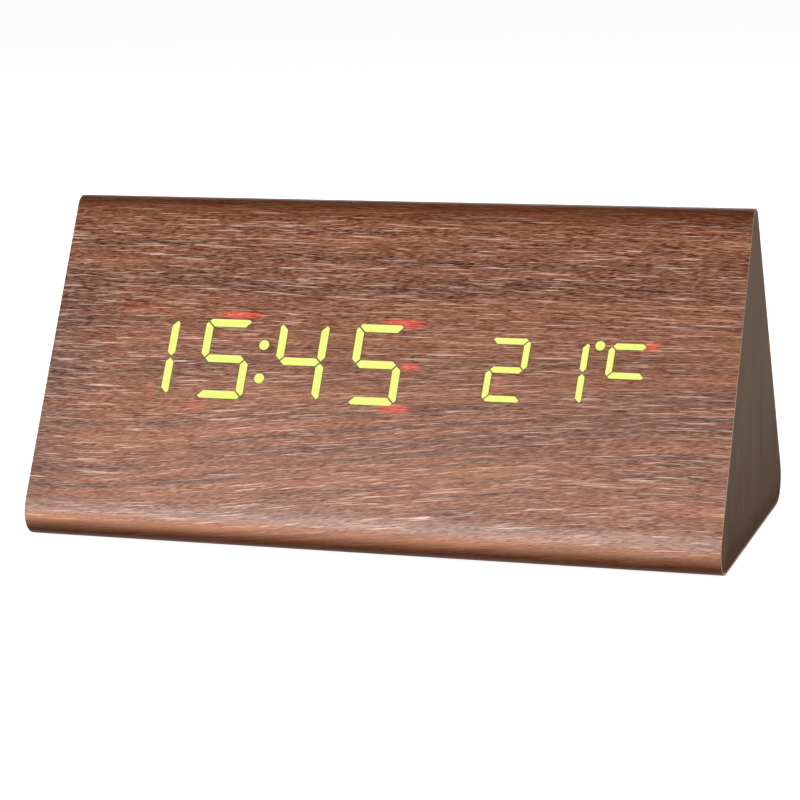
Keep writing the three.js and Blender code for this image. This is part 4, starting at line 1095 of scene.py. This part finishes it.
# For each slot its recipe and its constants. A speckled one has its light and dark colour, the scale of
# its grains and the depth of its relief in millimetres.
FINISHES = {
    "fibreboard": (pressed_fibres, {"Roughness": 0.85}),
    "frosted_sheet": speckled(srgb(242, 242, 238), srgb(228, 228, 222), 1.0, 0.005, Roughness=0.6),
    "white_plastic": speckled(srgb(236, 236, 230), srgb(222, 222, 214), 0.6, 0.005, Roughness=0.5),
    "light_guide": speckled(srgb(226, 236, 190), srgb(206, 220, 160), 0.6, 0.005, Roughness=0.3),
    "circuit_board": (masked_copper, {"Roughness": 0.4}),
    "steel": (drawn_steel, {"Metallic": 1.0}),
    "black_plastic": speckled(
        srgb(40, 40, 42), srgb(27, 27, 29), 3.0, 0.02, Roughness=0.6, **{"Specular IOR Level": 0.25},
    ),
    "cell_jacket": speckled(srgb(48, 66, 104), srgb(38, 54, 88), 0.4, 0.004, Roughness=0.32),
    "red_sleeve": speckled(srgb(180, 36, 34), srgb(150, 26, 26), 1.0, 0.01, Roughness=0.45),
    "black_sleeve": speckled(srgb(32, 32, 32), srgb(22, 22, 22), 1.0, 0.01, Roughness=0.45),
    "grey_sleeve": speckled(srgb(156, 160, 166), srgb(132, 136, 142), 0.8, 0.01, Roughness=0.5),
}
finishes = {name: finish(name, constants, recipe) for name, (recipe, constants) in FINISHES.items()}
finishes["walnut_film"] = film_finish
finishes["end_sheet"] = end_finish
print(f"{len(finishes)} finishes")


def dress(piece, body, slot, *replaced):
    """Gives a new piece its slot's finish, its body and the nodes that it stands for."""
    piece.data.materials.clear()
    piece.data.materials.append(finishes[slot])
    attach(piece, body)
    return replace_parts(piece, *replaced) if replaced else piece


# %% [markdown]
# ## Buttons and socket
# Three moulded caps stand in their holes in the rear face. Each is turned: a flange inside keeps it from
# falling out, a stem fills the hole, and the top is a shallow dish with a rounded rim. The socket is one
# moulding, a square block on the circuit board with a round nose in its hole and a bore in the nose. A
# path from the block's back over the nose and down the bore crosses all of it, so it is one stack of
# rings that change from a rounded square to a circle. Its pin is turned, in dull nickel.

# %% Turn the button caps
CURVE_STEPS = 5
MOST_OF_A_SIDE = 0.45


def softened(profile, reach):
    """A profile with each corner c between its ends rounded by the curve (1-t)^2 a + 2t(1-t) c + t^2 b,
    where a and b lie on the corner's two sides, at the reach or at 0.45 of the side if that is less."""
    points = np.array(profile, float)
    corner = points[1:-1]
    sides = np.stack([points[:-2], points[2:]]) - corner
    share = np.minimum(reach / np.linalg.norm(sides, axis=2, keepdims=True), MOST_OF_A_SIDE)
    a, b = (corner + sides * share)[:, :, None]
    t = np.linspace(0, 1, CURVE_STEPS)[:, None]
    curves = (1 - t) ** 2 * a + 2 * t * (1 - t) * corner[:, None] + t ** 2 * b
    return np.concatenate([points[:1], curves.reshape(-1, 2), points[-1:]])


# From the flange's underside out to the rim and in to the dish: radius, and height above the film.
CAP_PROFILE_MM = [
    (0, -6.9), (4.2, -6.9), (4.2, -5.9), (3, -5.9), (3, 1.0), (2.3, 1.0), (1.2, 0.78), (0, 0.72),
]
CAP_ROUNDING = 0.35 * MM
cap_profile = softened(np.array(CAP_PROFILE_MM) * MM, CAP_ROUNDING)
for name in KEY_NAMES:
    cap = turned_object(f"{name}_cap", cap_profile, key_centres[name])
    dress(cap, f"{name}_key", "black_plastic", f"{name}_button")
print(f"three caps of {len(cap.data.polygons)} faces each")

# %% Stack rings into blocks
BLOCK_POWER = 12
CIRCLE_POWER = 2


def stacked(rows, centre, origin, axes):
    """Rings of half widths a and b, power p and height: the point at the angle t is
    (a |cos t|^(2/p), b |sin t|^(2/p)) with the signs of cos t and sin t. Power 2 is an ellipse, and a
    higher power comes near a rectangle."""
    a, b, power, height = (column[:, None] for column in np.array(rows, float).T)
    t = np.linspace(0, 2 * math.pi, ROUND_SIDES, endpoint=False)
    across = a * np.sign(np.cos(t)) * np.abs(np.cos(t)) ** (2 / power)
    upward = b * np.sign(np.sin(t)) * np.abs(np.sin(t)) ** (2 / power)
    local = np.stack([across + centre[0], upward + centre[1], np.broadcast_to(height, across.shape)], -1)
    tips = [origin + np.append(centre, rows[i][3]) @ axes for i in (0, -1)]
    return closed_shell(origin + local @ axes, *tips)


def block_rows(half_sizes, power, low, high, edge):
    """Rows of a block between two heights, with its edges broken."""
    a, b = half_sizes
    insets = [(edge, low), (0.0, low + edge), (0.0, high - edge), (edge, high)]
    return [(a - inset, b - inset, power, height) for inset, height in insets]


def circle_rows(profile):
    """Rows of circles for a profile of (radius, height)."""
    return [(radius, radius, CIRCLE_POWER, height) for radius, height in profile]


print(f"a block is 4 rings of {ROUND_SIDES} points")

# %% Build the socket and its pin
BLOCK_HALF_MM = (4.5, 5.0)
BLOCK_EDGE_MM = 0.3
NOSE_RADIUS_MM, NOSE_FILLET_MM, NOSE_ROUNDING_MM = 4.0, 0.2, 0.25
BORE_RADIUS_MM, BORE_MIDDLE_MM = 2.8, 0.1
PIN_RADIUS, PIN_ROOT, PIN_ROUNDING = 1.0 * MM, 0.2 * MM, 0.5 * MM
PIN_NICKEL = (0.25, 0.24, 0.22)
# Heights above the film.
BLOCK_FRONT_MM, NOSE_END_MM, BORE_FLOOR_MM, PIN_END_MM = -5.9, -0.3, -9.3, -1.5

block_back_mm = in_face(node_points("dc_jack"), REAR_ORIGIN, REAR_AXES)[:, 2].min() / MM
nose_profile = softened([
    (NOSE_RADIUS_MM + NOSE_FILLET_MM, BLOCK_FRONT_MM), (NOSE_RADIUS_MM, BLOCK_FRONT_MM),
    (NOSE_RADIUS_MM, NOSE_END_MM), (BORE_RADIUS_MM, NOSE_END_MM),
    (BORE_RADIUS_MM, BORE_FLOOR_MM), (BORE_MIDDLE_MM, BORE_FLOOR_MM),
], NOSE_ROUNDING_MM)
block = block_rows(BLOCK_HALF_MM, BLOCK_POWER, block_back_mm, BLOCK_FRONT_MM, BLOCK_EDGE_MM)
socket_rows = np.array(block + circle_rows(nose_profile)) * (MM, MM, 1, MM)
socket = shells_object("power_socket", [stacked(socket_rows, socket_centre, REAR_ORIGIN, REAR_AXES)])
dress(socket, "case", "black_plastic", "dc_jack")

pin_from, pin_to = BORE_FLOOR_MM * MM - PIN_ROOT, PIN_END_MM * MM
pin_corners = [(0, pin_from), (PIN_RADIUS, pin_from), (PIN_RADIUS, pin_to), (0, pin_to)]
pin_profile = softened(pin_corners, PIN_ROUNDING)
pin = dress(turned_object("socket_pin", pin_profile, socket_centre), "case", "steel")
pin.data.materials[0] = finish("dull_nickel", {"Base Color": PIN_NICKEL, "Metallic": 1.0, "Roughness": 0.5})
print(f"socket: {len(socket.data.polygons)} faces, block back at {block_back_mm:.2f} mm")

# %% [markdown]
# ## Battery bay
# Four small cells lie across the base, head to tail. A cell is a steel can in a shrunk plastic jacket,
# which leaves the bottom plate and the nub bare. The can is turned, and the jacket is only a finish: how
# far a point is along the cell tells if it is bare, dark, in the pale ring or in the silver part.

# %% Turn the cells
CELL_NAMES = ["battery_1", "battery_2", "battery_3", "battery_4"]
NUB_AT_HINGE = ["battery_1", "battery_3"]
ACROSS_AXES = np.array([(0, 1.0, 0), (0, 0, 1.0), (1.0, 0, 0)])
BACKWARD_AXES = np.array([(0, 0, 1.0), (0, 1.0, 0), (-1.0, 0, 0)])
NUB_HEIGHT = 1 * MM
GROOVE_DEPTH = 0.3 * MM
CELL_ROUNDING = 0.3 * MM
# Shares of the cell's radius: the plate's raised middle and its rim, each at both ends of its slope,
# and the groove round the nub. The last two are shares of the nub's radius.
PLATE_MIDDLE = (0.60, 0.64)
PLATE_RIM = (0.80, 0.84)
SHOULDER_RIM = (0.82, 0.78)
NUB_SHARE = 0.362
NUB_GROOVE, NUB_TOP = 1.25, 0.96


def cell_profile(radius, half_length):
    """From the recessed bottom plate over the jacket to the nub."""
    nub, shoulder = radius * NUB_SHARE, half_length - NUB_HEIGHT
    plate_floor, groove_floor = -half_length + GROOVE_DEPTH, shoulder - GROOVE_DEPTH
    return softened([
        (0, -half_length), (radius * PLATE_MIDDLE[0], -half_length), (radius * PLATE_MIDDLE[1], plate_floor),
        (radius * PLATE_RIM[0], plate_floor), (radius * PLATE_RIM[1], -half_length), (radius, -half_length),
        (radius, shoulder), (radius * SHOULDER_RIM[0], shoulder), (radius * SHOULDER_RIM[1], groove_floor),
        (nub * NUB_GROOVE, groove_floor), (nub, shoulder), (nub * NUB_TOP, half_length), (0, half_length),
    ], CELL_ROUNDING)


def turned_cell(name):
    """A cell in place of its node, turned so that its nub lies on the side that NUB_AT_HINGE gives it."""
    low, high = (np.array(corner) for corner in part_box(name))
    middle, half_size = (low + high) / 2, (high - low) / 2
    axes = BACKWARD_AXES if name in NUB_AT_HINGE else ACROSS_AXES
    profile = cell_profile(half_size[2], half_size[0])
    cell = turned_object(f"{name}_cell", profile, (0, 0), middle, axes)
    return dress(cell, "case", "cell_jacket", name)


cells = {name: turned_cell(name) for name in CELL_NAMES}
print(f"{len(cells)} cells of {len(cells[CELL_NAMES[0]].data.polygons)} faces")

# %% Give the cells their jackets
JACKET_BLUE, JACKET_SILVER = (0.022, 0.045, 0.11), (0.36, 0.38, 0.40)
RING_SILVER, CAN_STEEL = (0.75, 0.76, 0.76), (0.56, 0.56, 0.58)
# Along a cell, from the middle towards the nub.
SILVER_FROM_MM = 9.0
RING_AT_MM, RING_HALF_MM = 9.6, 0.45
BARE_FROM_MM, BARE_BEFORE_MM = 20.85, -22.05
BLUR_MM = 0.1


def cell_jacket(nub_side, middle_mm):
    """The recipe for cells whose nub is on the side 1 or -1, as the way along depends on it."""
    def recipe(start):
        x, y, z = object_place(start)
        along = (x - middle_mm) * nub_side
        scuffs = noise(vector(x * 0.5, y * 3.0, z * 3.0), detail=3.0) - 0.5
        nub_end = step_up(along, BARE_FROM_MM, BARE_FROM_MM + BLUR_MM)
        plate_end = step_up(along * -1.0, -BARE_BEFORE_MM, BLUR_MM - BARE_BEFORE_MM)
        bare = (nub_end + plate_end).clamped()
        silver = step_up(along, SILVER_FROM_MM, SILVER_FROM_MM + BLUR_MM)
        ring = plateau(along, RING_AT_MM, RING_HALF_MM)
        worn = 1.0 + scuffs
        jacket = mix(silver, scaled(JACKET_BLUE, worn), scaled(JACKET_SILVER, worn))
        colour = mix(bare, mix(ring, jacket, RING_SILVER), CAN_STEEL)
        return {"Base Color": colour, "Metallic": bare, "Roughness": 0.3 + scuffs * 0.3}
    return recipe


for side, nub_side in (("hinge", -1.0), ("far", 1.0)):
    names = [name for name in CELL_NAMES if (name in NUB_AT_HINGE) == (side == "hinge")]
    middle_mm = float(np.mean(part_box(names[0]), axis=0)[0] / MM)
    jacket = finish(f"cell_{side}", {}, cell_jacket(nub_side, middle_mm))
    for name in names:
        cells[name].data.materials[0] = jacket
    print(f"nub at the {side} end: {', '.join(names)}")

# %% [markdown]
# Between the cells and the end walls stand stamped strips: a narrowing coil spring presses on each flat
# end, a pressed dome meets each nub. The spring is a tube about a coil. A curve object with a bevel could
# draw one, but a ring of points carried along the coil gives closed ends and an even wire, and it goes
# into the same mesh as its strip.

# %% Wind a spring
WIRE_RADIUS = 0.35 * MM
WIRE_SIDES = 14
SPRING_LENGTH = 4.35 * MM
SPRING_BASE, SPRING_TIP = 3.302 * MM, 2.1 * MM
SPRING_TURNS = 3
SPRING_STEPS = 150


def spring_shell(middle):
    """A tube about a coil. At the share s of the spring its middle line has advanced by s * length and
    stands at the angle 2 pi s * turns, at a radius that shrinks evenly. Round it, a ring goes
    through wire * (cos b * outward + sin b * sideways)."""
    s = np.linspace(0, 1, SPRING_STEPS)[:, None]
    angle = s * SPRING_TURNS * 2 * math.pi
    outward = np.concatenate([0 * s, np.cos(angle), np.sin(angle)], 1)
    radius = SPRING_BASE + (SPRING_TIP - SPRING_BASE) * s
    line = middle + outward * radius + s * (SPRING_LENGTH, 0, 0)
    ahead = np.gradient(line, axis=0)
    ahead /= np.linalg.norm(ahead, axis=1, keepdims=True)
    outward -= ahead * (outward * ahead).sum(1, keepdims=True)
    outward /= np.linalg.norm(outward, axis=1, keepdims=True)
    sideways = np.cross(ahead, outward)
    b = np.linspace(0, 2 * math.pi, WIRE_SIDES, endpoint=False)[:, None]
    rings = line[:, None] + WIRE_RADIUS * (np.cos(b) * outward[:, None] + np.sin(b) * sideways[:, None])
    return closed_shell(rings, line[0], line[-1])


pitch = SPRING_LENGTH / SPRING_TURNS
print(f"a spring rises {pitch / MM:.2f} mm a turn on wire {2 * WIRE_RADIUS / MM:.1f} mm thick")

# %% Stamp the contacts
STRIP_FROM, STRIP_TO = 0.2 * MM, 0.6 * MM
STRIP_HALF_WIDTH = 3.75 * MM
STRIP_HALF_HEIGHT = 4.5 * MM
STRIP_EDGE = 0.08 * MM
STRIP_POWER, TAB_POWER = 24, 12
# From the strip to the dome's crown: radius, and distance from the wall.
DOME_PROFILE_MM = [(0, 0.3), (2.2, 0.3), (2.2, 0.58), (1.5, 0.7), (1.2, 1.45), (0.7, 1.7), (0, 1.7)]
DOME_ROUNDING = 0.3 * MM
# The tab's least and greatest distance from the wall, across the bay and up from the cells' axis.
TAB_MM = [(-3.9, 0.4), (-1.2, 1.2), (-0.2, 0.2)]
# The end where each strip stands, the cells that its springs press on and those that its domes meet.
CONTACTS = {
    "positive_contact": ("hinge", [], [0]), "link_contact_1": ("far", [0], [1]),
    "link_contact_2": ("hinge", [1], [2]), "link_contact_3": ("far", [2], [3]),
    "negative_contact": ("hinge", [3], []),
}
cell_places = [np.mean(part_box(name), axis=0) for name in CELL_NAMES]
axis_height = cell_places[0][2]
bay_half = max(abs(corner[0]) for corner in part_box("link_contact_1")) + STRIP_FROM


def slab_shell(low, high, power):
    """A plate with rounded corners and broken edges between two corners of its box, stacked along X."""
    low, high = np.array(low, float), np.array(high, float)
    middle, half = (low + high)[1:] / 2, (high - low)[1:] / 2
    return stacked(block_rows(half, power, low[0], high[0], STRIP_EDGE), middle, np.zeros(3), ACROSS_AXES)


def contact(name, end, springs, domes):
    """Built as if the wall stood at x = 0 with the bay beyond it, then put on its wall: at the far end it
    is turned half round the upright axis."""
    turn = np.array((-1, -1, 1)) if end == "far" else np.ones(3)
    across = {cell: cell_places[cell][1] * turn[1] for cell in springs + domes}
    low = (STRIP_FROM, min(across.values()) - STRIP_HALF_WIDTH, axis_height - STRIP_HALF_HEIGHT)
    high = (STRIP_TO, max(across.values()) + STRIP_HALF_WIDTH, axis_height + STRIP_HALF_HEIGHT)
    shells = [slab_shell(low, high, STRIP_POWER)]
    for cell in springs:
        shells.append(spring_shell(np.array((STRIP_TO, across[cell], axis_height))))
    for cell in domes:
        dome = softened(np.array(DOME_PROFILE_MM) * MM, DOME_ROUNDING)
        shells.append(turned_shell(dome, (0, 0), np.array((0, across[cell], axis_height)), ACROSS_AXES))
    if len(across) == 1:
        tab_place = (0, *across.values(), axis_height)
        shells.append(slab_shell(*(np.array(TAB_MM).T * MM + tab_place), TAB_POWER))
    shift = (bay_half if end == "far" else -bay_half, 0, 0)
    placed = [(points * turn + shift, faces) for points, faces in shells]
    return dress(shells_object(f"{name}_stamped", placed), "case", "steel", name)


strips = [contact(name, *settings) for name, settings in CONTACTS.items()]
print(f"{len(strips)} contacts at {bay_half / MM:.2f} mm from the middle")

# %% [markdown]
# The door and the box keep the frame's form. A moulded edge is never quite sharp, and the small round on
# it catches the light, so both get a copy with a bevel. A node's mesh is loose triangles, and its copy is
# merged into flat faces first, because a bevel needs to know which faces meet at an edge.

# %% Break the edges of the door and the box
DOOR_EDGE = 0.22 * MM
BOX_EDGE = 0.15 * MM
FLAT_WITHIN = math.radians(0.5)
ROUND_FROM = math.radians(30)
ROUND_SEGMENTS = 2


def eased_copy(name, edge):
    """A copy of a node's mesh with its loose triangles merged, its flat parts joined into larger faces,
    and a narrow round on every edge that turns by more than ROUND_FROM."""
    mesh = nodes[name].data.copy()
    form = bmesh.new()
    form.from_mesh(mesh)
    bmesh.ops.remove_doubles(form, verts=form.verts, dist=TOUCH)
    bmesh.ops.dissolve_limit(form, angle_limit=FLAT_WITHIN, verts=form.verts, edges=form.edges)
    form.to_mesh(mesh)
    form.free()
    mesh.shade_smooth()
    mesh.set_sharp_from_angle(angle=SMOOTH_BELOW)
    piece = bpy.data.objects.new(f"{name}_eased", mesh)
    bpy.context.scene.collection.objects.link(piece)
    bevel = piece.modifiers.new("edges", "BEVEL")
    bevel.width = edge
    bevel.segments = ROUND_SEGMENTS
    bevel.limit_method = "ANGLE"
    bevel.angle_limit = ROUND_FROM
    return piece


door = dress(eased_copy("battery_door", DOOR_EDGE), "door", "black_plastic", "battery_door")
box = dress(eased_copy("battery_box", BOX_EDGE), "case", "black_plastic", "battery_box")
print(f"door {len(door.data.polygons)} faces, box {len(box.data.polygons)} faces before the rounds")

# %% [markdown]
# ## The other nodes
# Every node keeps its place in the frame, also those that a new piece stands for. The packed record names
# a material slot for each, and the finishes have the slots' names.

# %% Give every node the finish of its material slot
slot_of = {part["node"]: part["material_slot"] for part in frame["record"]["subparts"]}
for name, node in nodes.items():
    node.data.materials.clear()
    node.data.materials.append(finishes[slot_of[name]])
print(f"finishes on {len(nodes)} nodes")

# %% [markdown]
# ## Light, table and backdrop
# The shine along the lower bend and its soft fading up the face tell where the light was: one tall soft
# box low in front, a little to the left. Weaker ones at both ends and behind the clock light the sides
# that the picture doesn't show, and the room fills in a little. The table is pale, keeps the clock's
# soft shadow and gets its white from camera and mirror rays alone, so it doesn't brighten the underside.

# %% Hang the soft boxes
# Each soft box: its azimuth and elevation in degrees, width, height and radiance.
SOFT_BOXES = {
    "key": (-16.5, 19.6, 0.55, 0.74, 9.0),
    "right_fill": (92.0, 24.0, 0.8, 0.6, 4.0),
    "left_fill": (-92.0, 24.0, 0.8, 0.6, 4.0),
    "rear_fill": (180.0, 24.0, 1.0, 0.6, 4.0),
}
LAMP_DISTANCE = 1.1
CLOCK_MIDDLE = Vector((0, -0.02, 0.03))


def soft_box(name, azimuth, elevation, width, height, radiance):
    """A rectangular lamp aimed at the clock. Its power is radiance * pi * area."""
    data = bpy.data.lights.new(name, "AREA")
    data.shape = "RECTANGLE"
    data.size, data.size_y = width, height
    data.energy = radiance * math.pi * width * height
    lamp = bpy.data.objects.new(name, data)
    lamp.visible_camera = False
    bpy.context.scene.collection.objects.link(lamp)
    towards = direction(math.radians(azimuth), math.radians(elevation))
    turn = towards.to_track_quat("Z", "Y")
    lamp.matrix_world = Matrix.LocRotScale(CLOCK_MIDDLE + towards * LAMP_DISTANCE, turn, None)
    return lamp


lamps = [soft_box(name, *settings) for name, settings in SOFT_BOXES.items()]
print(f"{len(lamps)} soft boxes, {sum(lamp.data.energy for lamp in lamps):.1f} watts together")

# %% Light the room and lay the table
ROOM_LIGHT = 0.16
TABLE_ALBEDO = 0.40
TABLE_GLOW = 0.90
TABLE_SIZE = 6.0


def seen_or_mirrored(start):
    """1 for rays from the camera, from a mirror-like bounce or through glass, else 0."""
    seen = start.node("ShaderNodeLightPath", {}, {}, output="Is Camera Ray")
    return (seen + seen.also("Is Glossy Ray") + seen.also("Is Transmission Ray")).clamped()


def pale_table(start):
    """White only where it is seen or mirrored."""
    return {"Emission Color": mix(seen_or_mirrored(start), (0.0, 0.0, 0.0), (1.0, 1.0, 1.0))}


world = bpy.data.worlds.new("room")
bpy.context.scene.world = world
world.use_nodes = True
background = world.node_tree.nodes["Background"]
background.inputs["Color"].default_value = (1, 1, 1, 1)
room = seen_or_mirrored(Value(world.node_tree)) * (1.0 - ROOM_LIGHT) + ROOM_LIGHT
world.node_tree.links.new(room.socket, background.inputs["Strength"])

table_finish = finish("pale_table", {
    "Base Color": (TABLE_ALBEDO,) * 3, "Roughness": 0.9, "Specular IOR Level": 0.0,
    "Emission Strength": TABLE_GLOW,
}, pale_table)
half = TABLE_SIZE / 2
table_corners = [(-half, -half, 0), (half, -half, 0), (half, half, 0), (-half, half, 0)]
table = add_object("table", table_corners, [(0, 1, 2, 3)])
table.data.materials.append(table_finish)
bpy.context.scene.view_settings.view_transform = "Standard"
print(f"a table of {TABLE_SIZE:.0f} m in a room of strength {ROOM_LIGHT}")
